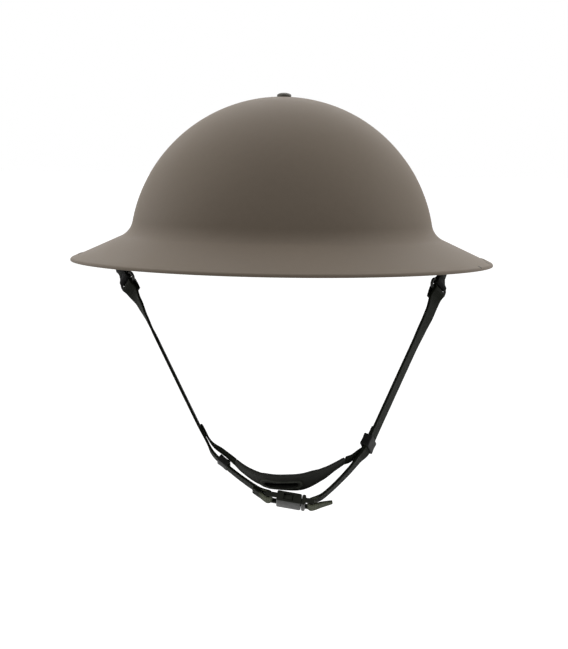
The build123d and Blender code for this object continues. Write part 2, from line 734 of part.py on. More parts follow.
for side, sign in sides.items():
    knuckle = hung(sign * lug_half_span, knuckle_down)
    bail_foot = hung(sign * bail_foot_across, bail_foot_down)
    bail_run = (bail_foot - knuckle).normalized()
    pieces[f"{side}_bail"] = wire_loop(knuckle, hang_plane.z_dir, bail_run, bail_length)

    # Tab, ring and the top of the strap lie on one line of pull
    route = share_points(route_shares[side])
    pull = (route[0] - bail_foot).normalized()
    ring_top = bail_foot + pull * tab_length
    ring_foot = ring_top + pull * ring_length
    ring_plane = tape_plane(ring_top, pull, sign * ring_turns[side])
    pieces[f"{side}_ring"] = wire_loop(ring_top, ring_plane.x_dir, pull, ring_length)

    # The tab's upper eye is wider on the right, where the pull of both bails is taken up
    upper_gap = eye_gap if side == "left" else open_eye_gap
    tab_eyes = (
        (bail_foot, hang_plane.z_dir, wire_radius + upper_gap),
        (ring_top, ring_plane.x_dir, wire_radius + eye_gap),
    )
    with BuildPart() as tab:
        with BuildSketch(tape_plane(bail_foot + pull * tab_eye_radius * eye_bite_share, pull, 0)):
            Rectangle(webbing_width, tab_thickness)
        with BuildSketch(tape_plane(ring_top - pull * tab_eye_radius * eye_bite_share, pull, sign * ring_turns[side])):
            Rectangle(webbing_width, tab_thickness)
        loft()
        for eye_middle, eye_run, bore in tab_eyes:
            eye_plane = Plane(eye_middle, x_dir=pull, z_dir=eye_run)
            with BuildSketch(eye_plane):
                Circle(bore + eye_wall)
            extrude(amount=webbing_width / 2, both=True)
            with BuildSketch(eye_plane):
                Circle(bore)
            extrude(amount=webbing_width, both=True, mode=Mode.SUBTRACT)
    pieces[f"{side}_tab"] = tab

    # The strap runs from an eye on the ring to an eye on its bar of the buckle
    bar = strap_bar[side]
    last_run = (bar - route[-1]).normalized()
    strap_points = [ring_foot + pull * strap_eye_radius * eye_bite_share] + route + [bar - last_run * buckle_eye_radius * eye_bite_share]
    strap_turns = [sign * ring_turns[side]] + route_turns[side] + [0]
    strap_planes = tape_planes(strap_points, strap_turns)
    fold_start = bar + hang_plane.y_dir * -(buckle_eye_radius - webbing_thickness / 2)
    if side == "left":
        free_points = [fold_start] + share_points(tip_shares)
        free_widths = [webbing_width, webbing_width, webbing_width * tip_width_share]
    else:
        fold_normal = last_run.cross(hang_plane.z_dir)
        fold_start = bar + fold_normal * (buckle_eye_radius - webbing_thickness / 2)
        free_points = [fold_start, fold_start - last_run * webbing_width * fold_tail_share]
        free_widths = [webbing_width, webbing_width]
    with BuildPart() as strap:
        for first, last, straight in route_stretch_counts[side]:
            for station in strap_planes[first : last + 1]:
                with BuildSketch(station):
                    Rectangle(webbing_width, webbing_thickness)
            loft(ruled=straight)
        for station, width in zip(tape_planes(free_points, [0] * len(free_points)), free_widths):
            with BuildSketch(station):
                Rectangle(width, webbing_thickness)
        loft(ruled=True)
        for eye_middle, eye_run, bore in (
            (ring_foot, ring_plane.x_dir, wire_radius + eye_gap),
            (bar, hang_plane.z_dir, buckle_bar_radius + eye_gap),
        ):
            eye_plane = Plane(eye_middle, x_dir=last_run, z_dir=eye_run)
            with BuildSketch(eye_plane):
                Circle(bore + webbing_thickness)
            extrude(amount=webbing_width / 2, both=True)
            with BuildSketch(eye_plane):
                Circle(bore)
            extrude(amount=webbing_width, both=True, mode=Mode.SUBTRACT)
    pieces[f"{side}_strap"] = strap

    # The cup's arm lies on the strap's inner face and then leaves it for the cup
    start_station = arm_station_count[side]
    arm_base, arm_next = strap_points[start_station], strap_points[start_station + 1]
    arm_plane = tape_plane(arm_base, (arm_next - arm_base).normalized(), strap_turns[start_station])
    inward = arm_plane.y_dir * sign
    arm_offset = inward * (webbing_thickness / 2 + arm_gap + arm_thickness / 2)
    leave = arm_base + (arm_next - arm_base) * arm_leave_share[side]
    cup_end = cup_planes[-1].offset(face_gap) if side == "left" else cup_planes[0].offset(-face_gap)
    arm_points = [arm_base + arm_offset, leave + arm_offset] + share_points(arm_shares[side]) + [cup_end.origin]
    arm_planes = tape_planes(arm_points, arm_turns[side])
    arm_planes[-1] = Plane(cup_end.origin, x_dir=cup_end.x_dir, z_dir=cup_end.z_dir * -sign)
    with BuildPart() as cup_arm:
        for arm_stretch in (arm_planes[:2], arm_planes[1:]):
            for station in arm_stretch:
                with BuildSketch(station):
                    Rectangle(arm_width, arm_thickness)
            loft()
    pieces[f"{side}_cup_arm"] = cup_arm

    # The sleeve goes round all the layers where it lies
    slide_station, along_share, slide_turn = slide_share[side]
    slide_from, slide_to = strap_points[slide_station], strap_points[slide_station + 1]
    slide_run = (slide_to - slide_from).normalized()
    slide_place = slide_from + (slide_to - slide_from) * along_share
    slide_layers = webbing_thickness
    if side == "left":
        slide_layers = webbing_thickness + arm_gap + arm_thickness
    slide_plane = tape_plane(slide_place, slide_run, slide_turn)
    slide_middle = slide_place + slide_plane.y_dir * (sign * (slide_layers - webbing_thickness) / 2)
    slide_plane = tape_plane(slide_middle, slide_run, slide_turn)
    room_width = webbing_width + slide_gap * 2
    room_height = slide_layers + slide_gap * 2
    with BuildPart() as slide:
        with BuildSketch(slide_plane):
            RectangleRounded(room_width + slide_wall * 2, room_height + slide_wall * 2, slide_wall)
            Rectangle(room_width, room_height, mode=Mode.SUBTRACT)
        extrude(amount=slide_length / 2, both=True)
    pieces[f"{side}_slide"] = slide

with BuildPart() as chin_cup:
    for station, width_share in zip(cup_planes, cup_width_shares):
        with BuildSketch(station):
            Rectangle(cup_width * width_share, cup_thickness)
    loft()
    hole_middle = share_points([cup_hole_share])[0]
    across_cup = tape_plane(hole_middle, Vector(1, 0, 0), cup_turns[len(cup_turns) // 2])
    with BuildSketch(Plane(hole_middle, x_dir=(1, 0, 0), z_dir=across_cup.y_dir)):
        SlotOverall(cup_hole_length, cup_hole_width)
    extrude(amount=cup_width / 2, both=True, mode=Mode.SUBTRACT)
pieces["chin_cup"] = chin_cup

# Lining on the inner face of the cup, which shows through the hole
lining_drop = cup_thickness / 2 + lining_gap + lining_thickness / 2
lining_skip = len(cup_planes) // 4
lining_stations = zip(cup_planes[lining_skip:-lining_skip], cup_width_shares[lining_skip:-lining_skip])
with BuildPart() as cup_lining:
    for station, width_share in lining_stations:
        with BuildSketch(station):
            with Locations((0, -lining_drop)):
                Rectangle(cup_width * width_share * lining_width_share, lining_thickness)
    loft()
pieces["cup_lining"] = cup_lining

# Socket with a cavity for the prongs, a window at each side for their barbs, and a bar on rails
inner_depth = buckle_depth - buckle_wall * 2
inner_height = buckle_height - buckle_wall * 2
with BuildPart() as buckle_socket:
    with BuildSketch(buckle_plane):
        with Locations((-socket_length / 2, 0)):
            RectangleRounded(socket_length, buckle_height, buckle_wall * buckle_round_share)
    extrude(amount=buckle_depth / 2, both=True)
    with BuildSketch(buckle_plane):
        with Locations((-(socket_length - buckle_wall) / 2, 0)):
            Rectangle(socket_length - buckle_wall, inner_height)
    extrude(amount=inner_depth / 2, both=True, mode=Mode.SUBTRACT)
    with BuildSketch(buckle_plane):
        with Locations((-prong_reach / 2 - window_length / 2, 0)):
            Rectangle(window_length, inner_height)
    extrude(amount=buckle_depth, both=True, mode=Mode.SUBTRACT)
    for outward in (-1, 1):
        with BuildSketch(buckle_plane.offset(outward * buckle_depth / 2)):
            with Locations((-socket_length - (socket_bar_reach + rail_height / 2) / 2, 0)):
                Rectangle(socket_bar_reach + rail_height / 2, rail_height)
        extrude(amount=-outward * rail_width)
    with BuildSketch(buckle_plane):
        with Locations((-socket_length - socket_bar_reach, 0)):
            Circle(buckle_bar_radius)
    extrude(amount=buckle_depth / 2, both=True)
pieces["buckle_socket"] = buckle_socket

with BuildPart() as buckle_plug:
    with BuildSketch(buckle_plane):
        with Locations((prong_gap + plug_base / 2, 0)):
            RectangleRounded(plug_base, buckle_height, buckle_wall * buckle_round_share)
    extrude(amount=buckle_depth / 2, both=True)
    for outward in (-1, 1):
        with BuildSketch(buckle_plane.offset(outward * buckle_depth / 2)):
            with Locations(((prong_gap + plug_base + plug_bar_reach + rail_height / 2) / 2, 0)):
                Rectangle(plug_bar_reach + rail_height / 2 - prong_gap - plug_base, rail_height)
        extrude(amount=-outward * rail_width)
    with BuildSketch(buckle_plane):
        with Locations((plug_bar_reach, 0)):
            Circle(buckle_bar_radius)
    extrude(amount=buckle_depth / 2, both=True)
    with BuildSketch(buckle_plane):
        with Locations(((plug_base - prong_reach) / 2, 0)):
            Rectangle(prong_reach + plug_base, prong_height)
    extrude(amount=guide_width / 2, both=True)
pieces["buckle_plug"] = buckle_plug

# Each prong turns about the middle of its rounded root, just inside the plug's base
prong_root = prong_width / 2
prong_out = inner_depth / 2 - prong_gap - prong_root
for name, outward in (("front", 1), ("back", -1)):
    root = buckle_plane.from_local_coords(Vector(-prong_root, 0, outward * prong_out))
    prong_plane = Plane(root, x_dir=buckle_run * -1, z_dir=buckle_plane.y_dir * outward)
    with BuildPart() as prong:
        with BuildSketch(prong_plane):
            Circle(prong_root)
            with Locations((prong_reach / 2, 0)):
                Rectangle(prong_reach, prong_width)
            barb_start = prong_reach - barb_length - prong_root
            with BuildLine():
                Polyline(
                    (barb_start, 0),
                    (barb_start, prong_root + barb_height),
                    (barb_start + barb_length / 2, prong_root + barb_height),
                    (barb_start + barb_length, prong_root),
                    (barb_start + barb_length, 0),
                    close=True,
                )
            make_face()
        extrude(amount=prong_height / 2, both=True)
    pieces[f"buckle_prong_{name}"] = prong

for name, piece in pieces.items():
    piece.part.label = name
    export_step(piece.part, f"parts/{name}.step")
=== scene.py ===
import math

import bmesh
import bpy
import numpy as np
from mathutils import Matrix, Vector, noise


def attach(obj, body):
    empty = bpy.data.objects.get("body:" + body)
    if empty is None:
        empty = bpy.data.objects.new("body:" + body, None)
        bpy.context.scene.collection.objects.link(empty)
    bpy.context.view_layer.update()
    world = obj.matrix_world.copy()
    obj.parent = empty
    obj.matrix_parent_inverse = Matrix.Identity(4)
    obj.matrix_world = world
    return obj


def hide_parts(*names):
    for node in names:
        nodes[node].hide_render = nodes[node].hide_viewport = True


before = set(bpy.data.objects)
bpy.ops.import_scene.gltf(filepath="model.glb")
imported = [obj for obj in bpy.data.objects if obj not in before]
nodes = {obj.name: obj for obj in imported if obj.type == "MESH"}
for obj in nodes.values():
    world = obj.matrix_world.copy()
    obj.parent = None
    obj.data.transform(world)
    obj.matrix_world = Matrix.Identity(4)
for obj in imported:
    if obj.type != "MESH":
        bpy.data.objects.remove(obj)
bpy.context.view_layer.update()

# Lengths are metres, in the helmet's own frame: +Z up as worn, the front towards -Y
MILLI = 0.001
scene = bpy.context.scene

# Studio light, as it falls on the helmet
ambient_light = 0.340
overhead_light, overhead_spread, overhead_lean = 1.28, 76, 38
side_softboxes = (
    ("left_softbox", (1.5, 0.45, 0.55), (0, 0, -0.02), 1.0, 1.4, 6.6),
    ("right_softbox", (-1.5, 0.45, 0.55), (0, 0, -0.02), 1.0, 1.4, 6.4),
)

# Camera, at the photograph's viewing angle
camera_place = Vector((0, -1.5, 0.06))
camera_pitch = math.radians(-4.634)
camera_yaw = math.radians(0.086)
camera_roll = math.radians(0.87)
camera_lens = 120.76

forward = Vector((
    math.sin(camera_yaw) * math.cos(camera_pitch),
    math.cos(camera_yaw) * math.cos(camera_pitch),
    math.sin(camera_pitch),
))
level_right = forward.cross(Vector((0, 0, 1))).normalized()
level_up = level_right.cross(forward)
camera_right = level_right * math.cos(camera_roll) + level_up * math.sin(camera_roll)
camera_up = level_up * math.cos(camera_roll) - level_right * math.sin(camera_roll)
camera_data = bpy.data.cameras.new("studio_camera")
camera_data.lens = camera_lens
camera_data.clip_end = 100
camera = bpy.data.objects.new("studio_camera", camera_data)
camera.matrix_world = Matrix.Translation(camera_place) @ Matrix(
    (camera_right, camera_up, -forward)
).transposed().to_4x4()
scene.collection.objects.link(camera)
scene.camera = camera
scene.view_settings.view_transform = "Standard"


# Node helpers for the materials
def put(tree, kind, settings=None, inputs=None):
    """Adds a node; each input takes a value or the output that feeds it."""
    made = tree.nodes.new(kind)
    for key, value in (settings or {}).items():
        setattr(made, key, value)
    for key, value in (inputs or {}).items():
        if isinstance(value, bpy.types.NodeSocket):
            tree.links.new(value, made.inputs[key])
        else:
            made.inputs[key].default_value = value
    return made


def maths(tree, operation, *values):
    """The output of a Math node."""
    return put(tree, "ShaderNodeMath", {"operation": operation}, dict(enumerate(values))).outputs[0]


def times(tree, first, second):
    """The product of two values."""
    return maths(tree, "MULTIPLY", first, second)


def plus(tree, first, second):
    """The sum of two values."""
    return maths(tree, "ADD", first, second)


def mixed(tree, factor, first, second):
    """A colour between two others."""
    return put(tree, "ShaderNodeMix", {"data_type": "RGBA"}, {0: factor, 6: first, 7: second}).outputs[2]


def spread(tree, value, low, high, new_low=0.0, new_high=1.0):
    """A value taken from one range to another, and held inside it."""
    limits = {0: value, 1: low, 2: high, 3: new_low, 4: new_high}
    return put(tree, "ShaderNodeMapRange", inputs=limits).outputs[0]


def mottle(tree, pitch, detail, roughness=0.5):
    """A noise pattern fixed to the piece."""
    return put(tree, "ShaderNodeTexNoise", inputs={
        "Vector": put(tree, "ShaderNodeTexCoord").outputs["Object"],
        "Scale": pitch, "Detail": detail, "Roughness": roughness,
    }).outputs[0]


def stored(tree, name):
    """A value that the mesh keeps for each of its points."""
    return put(tree, "ShaderNodeAttribute", {"attribute_name": name}).outputs["Fac"]


def looked_at(tree):
    """1 where the camera sees a surface, straight, through glass or in gloss, and 0 for other light."""
    path = put(tree, "ShaderNodeLightPath").outputs
    seen = plus(tree, path["Is Camera Ray"], path["Is Transmission Ray"])
    return spread(tree, plus(tree, seen, path["Is Glossy Ray"]), 0.0, 1.0)


def new_group(name, inputs, outputs):
    """A node group with its own inputs and outputs."""
    tree = bpy.data.node_groups.new(name, "ShaderNodeTree")
    for label, kind, value in inputs:
        socket = tree.interface.new_socket(name=label, in_out="INPUT", socket_type=kind)
        socket.default_value = value
    for label, kind in outputs:
        tree.interface.new_socket(name=label, in_out="OUTPUT", socket_type=kind)
    return tree, tree.nodes.new("NodeGroupInput"), tree.nodes.new("NodeGroupOutput")


NUMBER, COLOUR = "NodeSocketFloat", "NodeSocketColor"
GREY = (0.5, 0.5, 0.5, 1)


def make_grain():
    """Fine uneven grain for a bump, with a coarser wave under it."""
    tree, given, result = new_group(
        "surface_grain",
        [("Pitch", NUMBER, 900.0), ("Detail", NUMBER, 4.0), ("Wave", NUMBER, 0.35)],
        [("Height", NUMBER)],
    )
    fine = mottle(tree, given.outputs["Pitch"], given.outputs["Detail"], 0.6)
    coarse = mottle(tree, times(tree, given.outputs["Pitch"], 0.08), 2.0)
    wave = times(tree, coarse, given.outputs["Wave"])
    tree.links.new(plus(tree, fine, wave), result.inputs["Height"])
    return tree


def make_drift():
    """Slow change of a colour over the surface, with faint finer mottling."""
    tree, given, result = new_group(
        "tone_drift",
        [
            ("Colour", COLOUR, GREY), ("Second", COLOUR, GREY),
            ("Pitch", NUMBER, 18.0), ("Amount", NUMBER, 0.5),
        ],
        [("Colour", COLOUR), ("Mask", NUMBER)],
    )
    slow = mottle(tree, given.outputs["Pitch"], 3.0, 0.55)
    fine = mottle(tree, times(tree, given.outputs["Pitch"], 14.0), 5.0)
    mask = spread(tree, plus(tree, times(tree, slow, 0.7), times(tree, fine, 0.3)), 0.36, 0.64)
    share = times(tree, mask, given.outputs["Amount"])
    colour = mixed(tree, share, given.outputs["Colour"], given.outputs["Second"])
    tree.links.new(colour, result.inputs["Colour"])
    tree.links.new(mask, result.inputs["Mask"])
    return tree


def make_edge_wear():
    """Rubbed colour along outer edges, broken up by noise."""
    tree, given, result = new_group(
        "edge_wear",
        [
            ("Colour", COLOUR, GREY), ("Worn", COLOUR, GREY),
            ("Amount", NUMBER, 0.5), ("Pitch", NUMBER, 160.0),
        ],
        [("Colour", COLOUR), ("Mask", NUMBER)],
    )
    edge = spread(tree, put(tree, "ShaderNodeNewGeometry").outputs["Pointiness"], 0.515, 0.60)
    broken = spread(tree, mottle(tree, given.outputs["Pitch"], 4.0), 0.42, 0.62)
    mask = times(tree, times(tree, edge, broken), given.outputs["Amount"])
    tree.links.new(mixed(tree, mask, given.outputs["Colour"], given.outputs["Worn"]), result.inputs["Colour"])
    tree.links.new(mask, result.inputs["Mask"])
    return tree


def make_weave():
    """Over and under of webbing, from how far along and across the tape a point is."""
    tree, given, result = new_group(
        "webbing_weave",
        [
            ("Rib", NUMBER, 0.0011), ("Thread", NUMBER, 0.0009),
            ("Colour", COLOUR, GREY), ("Valley", COLOUR, GREY),
        ],
        [("Colour", COLOUR), ("Height", NUMBER)],
    )

    def rise(way, pitch):
        turns = maths(tree, "DIVIDE", stored(tree, way), given.outputs[pitch])
        return maths(tree, "SINE", times(tree, turns, math.tau))

    rib = rise("along", "Rib")
    cross = times(tree, rib, rise("across", "Thread"))
    height = plus(tree, times(tree, cross, 0.42), times(tree, mottle(tree, 2600.0, 3.0), 0.35))
    height = plus(tree, height, times(tree, rib, 0.18))
    tree.links.new(plus(tree, height, 0.4), result.inputs["Height"])
    crown = spread(tree, height, -0.35, 0.6)
    colour = mixed(tree, crown, given.outputs["Valley"], given.outputs["Colour"])
    tree.links.new(colour, result.inputs["Colour"])
    return tree


grain_group = make_grain()
drift_group = make_drift()
wear_group = make_edge_wear()
weave_group = make_weave()


def use_group(tree, group, inputs):
    """Places a node group in a material."""
    return put(tree, "ShaderNodeGroup", {"node_tree": group}, inputs)


def tint(red, green, blue):
    """A colour as it is seen, for a shader."""
    light = [((c + 0.055) / 1.055) ** 2.4 if c > 0.04045 else c / 12.92 for c in (red, green, blue)]
    return (*light, 1)


def start_material(name, **constants):
    """A material with a Principled shader whose plain sockets are set."""
    made = bpy.data.materials.new(name)
    made.use_nodes = True
    shader = made.node_tree.nodes["Principled BSDF"]
    for key, value in constants.items():
        shader.inputs[key.replace("_", " ")].default_value = value
    return made, made.node_tree, shader


def finish_material(tree, shader, colour, height, depth, rough=None, metal=None):
    """Links colour, bump, roughness and metal into the shader."""
    tree.links.new(colour, shader.inputs["Base Color"])
    bump = put(tree, "ShaderNodeBump", inputs={"Height": height, "Distance": depth, "Strength": 1.0})
    tree.links.new(bump.outputs[0], shader.inputs["Normal"])
    if rough is not None:
        tree.links.new(rough, shader.inputs["Roughness"])
    if metal is not None:
        tree.links.new(metal, shader.inputs["Metallic"])


def paint_finish():
    """Flat warm grey-brown paint on pressed steel, with chips at the joint of the rim strip."""
    made, tree, shader = start_material("grey_brown_paint", Specular_IOR_Level=0.26)
    drift = use_group(tree, drift_group, {
        "Colour": tint(0.505, 0.457, 0.402), "Second": tint(0.54, 0.493, 0.436),
        "Pitch": 16.0, "Amount": 0.55,
    })
    wear = use_group(tree, wear_group, {
        "Colour": drift.outputs["Colour"], "Worn": tint(0.60, 0.575, 0.52), "Amount": 0.35, "Pitch": 220.0,
    })
    place = put(tree, "ShaderNodeTexCoord").outputs["Object"]
    ragged = times(tree, mottle(tree, 1400.0, 3.0), 0.8)
    chipped = 0.0
    for centre, reach in paint_chips:
        apart = put(tree, "ShaderNodeVectorMath", {"operation": "DISTANCE"}, {0: place, 1: centre})
        edge = plus(tree, maths(tree, "DIVIDE", apart.outputs["Value"], reach), ragged)
        chipped = maths(tree, "MAXIMUM", chipped, spread(tree, edge, 1.45, 1.2))
    colour = mixed(tree, chipped, wear.outputs["Colour"], tint(0.30, 0.28, 0.225))
    grain = use_group(tree, grain_group, {"Pitch": 1500.0, "Detail": 4.0, "Wave": 0.6})
    height = maths(tree, "SUBTRACT", grain.outputs[0], times(tree, chipped, 1.5))
    rough = spread(tree, drift.outputs["Mask"], 0.0, 1.0, 0.60, 0.70)
    finish_material(tree, shader, colour, height, 0.00006, rough)
    return made


def steel_finish(name, base, worn, metal_high, rough):
    """Bare or thinly coated steel, brighter where it is worn."""
    made, tree, shader = start_material(name)
    drift = use_group(tree, drift_group, {
        "Colour": tint(*base), "Second": tint(*(c * 0.78 for c in base)), "Pitch": 70.0, "Amount": 0.8,
    })
    wear = use_group(tree, wear_group, {
        "Colour": drift.outputs["Colour"], "Worn": tint(*worn), "Amount": 0.8, "Pitch": 420.0,
    })
    grain = use_group(tree, grain_group, {"Pitch": 700.0, "Detail": 5.0, "Wave": 0.4})
    roughness = spread(tree, drift.outputs["Mask"], 0.0, 1.0, *rough)
    metal = spread(tree, wear.outputs["Mask"], 0.0, 0.5, metal_high * 0.75, metal_high)
    finish_material(tree, shader, wear.outputs["Colour"], grain.outputs[0], 0.00005, roughness, metal)
    return made


def webbing_finish(name, base, valley, rib, thread, sheen, shine):
    """Close-woven tape with a little sheen, and a paler painted floor reflection on its down-facing side
    where it turns round a bar.
    """
    made, tree, shader = start_material(
        name, Specular_IOR_Level=shine,
        Sheen_Weight=sheen, Sheen_Roughness=0.5, Sheen_Tint=tint(0.62, 0.66, 0.56),
    )
    weave = use_group(tree, weave_group, {
        "Rib": rib, "Thread": thread, "Colour": tint(*base), "Valley": tint(*valley),
    })
    drift = use_group(tree, drift_group, {
        "Colour": weave.outputs["Colour"], "Second": tint(*(c * 1.4 for c in base)),
        "Pitch": 60.0, "Amount": 0.22,
    })
    # Paler olive painted on down-facing tape near a bar: painted reflection of floor light, strongest on the
    # weave's crowns
    reflection_mask = times(tree, stored(tree, "underside_reflection"), spread(tree, weave.outputs["Height"], -0.2, 0.8, 0.55, 1.0))
    reflection_colour = mixed(tree, reflection_mask, drift.outputs["Colour"], tint(0.46, 0.475, 0.40))
    wear = use_group(tree, wear_group, {
        "Colour": reflection_colour, "Worn": tint(0.27, 0.28, 0.23), "Amount": 0.3, "Pitch": 700.0,
    })
    rough = spread(tree, weave.outputs["Height"], 0.0, 1.0, 0.78, 0.55)
    finish_material(tree, shader, wear.outputs["Colour"], weave.outputs["Height"], 0.00016, rough)
    return made


def moulded_finish(
    name, base, second, worn, rough, pitch, depth, wear_amount=0.4, shine=0.45, shine_tint=(1, 1, 1, 1),
):
    """Moulded or tanned surface: grain, slow change of tone, lighter rubbed edges."""
    made, tree, shader = start_material(name, Specular_IOR_Level=shine, Specular_Tint=shine_tint)
    drift = use_group(tree, drift_group, {
        "Colour": tint(*base), "Second": tint(*second), "Pitch": 45.0, "Amount": 0.7,
    })
    wear = use_group(tree, wear_group, {
        "Colour": drift.outputs["Colour"], "Worn": tint(*worn), "Amount": wear_amount, "Pitch": 320.0,
    })
    grain = use_group(tree, grain_group, {"Pitch": pitch, "Detail": 5.0, "Wave": 0.7})
    roughness = spread(tree, grain.outputs[0], 0.3, 1.0, *rough)
    finish_material(tree, shader, wear.outputs["Colour"], grain.outputs[0], depth, roughness)
    return made


# Where the paint is chipped at the joint of the rim strip
paint_chips = (
    (Vector((0.1393, -0.0294, -0.0155)), 0.0022),
    (Vector((0.1309, -0.0638, -0.0164)), 0.0018),
)
paint = paint_finish()
dark_steel = steel_finish("darkened_steel", (0.30, 0.29, 0.265), (0.50, 0.49, 0.46), 0.80, (0.46, 0.62))
spring_steel = steel_finish("spring_steel", (0.50, 0.51, 0.52), (0.74, 0.74, 0.73), 0.95, (0.30, 0.46))
wire_coat = steel_finish("black_wire_coat", (0.11, 0.11, 0.105), (0.40, 0.39, 0.37), 0.55, (0.38, 0.55))
rivet_metal = steel_finish("rivet_metal", (0.66, 0.65, 0.62), (0.84, 0.83, 0.80), 0.95, (0.34, 0.50))
webbing = webbing_finish(
    "dark_green_webbing", (0.098, 0.108, 0.080), (0.052, 0.057, 0.042),
    rib=0.0013, thread=0.0011, sheen=0.01, shine=0.05,
)
tab_webbing = webbing_finish(
    "black_tab_webbing", (0.055, 0.055, 0.050), (0.028, 0.028, 0.026),
    rib=0.0011, thread=0.0009, sheen=0.0, shine=0.06,
)
thread_finish = moulded_finish(
    "sewing_thread", (0.135, 0.14, 0.12), (0.18, 0.185, 0.16), (0.3, 0.3, 0.26),
    rough=(0.55, 0.8), pitch=3000.0, depth=0.00008, shine=0.2,
)
cup_leather = moulded_finish(
    "chin_cup_leather", (0.105, 0.108, 0.094), (0.135, 0.137, 0.12), (0.24, 0.24, 0.21),
    rough=(0.45, 0.62), pitch=1500.0, depth=0.00012, shine=0.22,
)
# A paler copy of the cup leather for the welt round the hole: painted light, as if that rim were lit
welt_leather_lit_copy = moulded_finish(
    "rolled_welt_painted_light", (0.175, 0.185, 0.158), (0.20, 0.21, 0.18), (0.28, 0.29, 0.25),
    rough=(0.45, 0.62), pitch=1500.0, depth=0.00010, shine=0.3,
)
# Near-black lining behind the cup's hole: painted shade, so the hole reads dark
lining_painted_shade = moulded_finish(
    "black_lining_painted_shade", (0.022, 0.022, 0.021), (0.035, 0.035, 0.033), (0.07, 0.07, 0.065),
    rough=(0.85, 1.0), pitch=2600.0, depth=0.00012, wear_amount=0.3, shine=0.02,
)
black_plastic = moulded_finish(
    "black_moulding", (0.062, 0.063, 0.057), (0.082, 0.083, 0.075), (0.20, 0.20, 0.18),
    rough=(0.30, 0.46), pitch=2200.0, depth=0.00005, shine=0.2, shine_tint=tint(0.95, 0.97, 0.88),
)
sleeve_plastic = moulded_finish(
    "black_sleeve_moulding", (0.070, 0.070, 0.066), (0.09, 0.09, 0.084), (0.18, 0.18, 0.165),
    rough=(0.45, 0.62), pitch=2200.0, depth=0.00005, shine=0.12,
)
rubber_finish = moulded_finish(
    "black_rubber", (0.10, 0.10, 0.098), (0.16, 0.155, 0.15), (0.25, 0.25, 0.24),
    rough=(0.62, 0.85), pitch=1100.0, depth=0.00010, wear_amount=0.5,
)
felt_finish = moulded_finish(
    "grey_felt", (0.50, 0.47, 0.41), (0.60, 0.56, 0.49), (0.66, 0.63, 0.56),
    rough=(0.85, 1.0), pitch=2400.0, depth=0.00035, wear_amount=0.2,
)
board_finish = moulded_finish(
    "headband_board", (0.215, 0.175, 0.135), (0.28, 0.23, 0.18), (0.42, 0.36, 0.28),
    rough=(0.55, 0.75), pitch=900.0, depth=0.00008, wear_amount=0.5,
)
cap_cloth = moulded_finish(
    "black_coated_cloth", (0.115, 0.108, 0.10), (0.165, 0.15, 0.135), (0.30, 0.28, 0.25),
    rough=(0.36, 0.58), pitch=1300.0, depth=0.00022, wear_amount=0.5,
)
sweat_leather = moulded_finish(
    "tan_sweatband_leather", (0.46, 0.325, 0.205), (0.56, 0.41, 0.27), (0.66, 0.52, 0.37),
    rough=(0.45, 0.66), pitch=1000.0, depth=0.00018, wear_amount=0.5,
)


# Mesh helpers
def mesh_piece(name, points, faces, sharp=None):
    """A smooth-shaded object from points and faces, with its normals outward."""
    data = bpy.data.meshes.new(name)
    data.from_pydata([tuple(p) for p in points], [], [tuple(f) for f in faces])
    work = bmesh.new()
    work.from_mesh(data)
    bmesh.ops.recalc_face_normals(work, faces=work.faces)
    work.to_mesh(data)
    work.free()
    data.shade_smooth()
    if sharp is not None:
        data.set_sharp_from_angle(angle=math.radians(sharp))
    piece = bpy.data.objects.new(name, data)
    scene.collection.objects.link(piece)
    return piece


def grid_faces(row_count, column_count, round_rows=False, round_columns=False):
    """Faces of a grid of points, closed on itself along rows or columns if asked."""
    faces = []
    for row in range(row_count if round_rows else row_count - 1):
        after = (row + 1) % row_count
        for column in range(column_count if round_columns else column_count - 1):
            beside = (column + 1) % column_count
            faces.append((
                row * column_count + column,
                row * column_count + beside,
                after * column_count + beside,
                after * column_count + column,
            ))
    return faces


def tube_piece(name, rings, round_rows=False, sharp=None):
    """A closed form through rings of points; its two ends are capped unless it closes on itself."""
    rings = np.asarray(rings, float)
    row_count, column_count = rings.shape[:2]
    points = [Vector(p) for p in rings.reshape(-1, 3)]
    faces = grid_faces(row_count, column_count, round_rows, True)
    if not round_rows:
        for start in (0, (row_count - 1) * column_count):
            middle = sum((points[start + c] for c in range(column_count)), Vector()) / column_count
            points.append(middle)
            last = len(points) - 1
            faces += [(start + c, start + (c + 1) % column_count, last) for c in range(column_count)]
    return mesh_piece(name, points, faces, sharp)


def final_mesh(piece):
    """Turns a piece's modifiers into its own mesh."""
    shown = piece.evaluated_get(bpy.context.evaluated_depsgraph_get())
    data = bpy.data.meshes.new_from_object(shown)
    piece.modifiers.clear()
    piece.data = data
    return piece


def carve(piece, cutters, sharp, operation="DIFFERENCE"):
    """Cuts other forms out of a piece, or joins them to it, removes them and shades the sharp edges."""
    for cutter in cutters:
        change = piece.modifiers.new("cut", "BOOLEAN")
        change.operation = operation
        change.solver = "EXACT"
        change.object = cutter
    bpy.context.view_layer.update()
    final_mesh(piece)
    for cutter in cutters:
        bpy.data.objects.remove(cutter)
    piece.data.set_sharp_from_angle(angle=math.radians(sharp))
    return piece


def round_edges(piece, width, angle, sharp, segments=2):
    """Rounds off the edges that are sharper than an angle."""
    rounding = piece.modifiers.new("rounding", "BEVEL")
    rounding.width = width * MILLI
    rounding.segments = segments
    rounding.limit_method = "ANGLE"
    rounding.angle_limit = math.radians(angle)
    bpy.context.view_layer.update()
    final_mesh(piece)
    piece.data.set_sharp_from_angle(angle=math.radians(sharp))
    return piece


def held(value, high=1.0):
    """A value kept between 0 and a highest one."""
    return min(high, max(0.0, value))


def dress(piece, finish, body, slot, *replaced):
    """Gives a piece its material and the body that it rides on, and hides the nodes it stands for; its slot
    is not used.
    """
    piece.data.materials.clear()
    piece.data.materials.append(finish)
    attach(piece, body)
    if replaced:
        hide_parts(*replaced)
    return piece


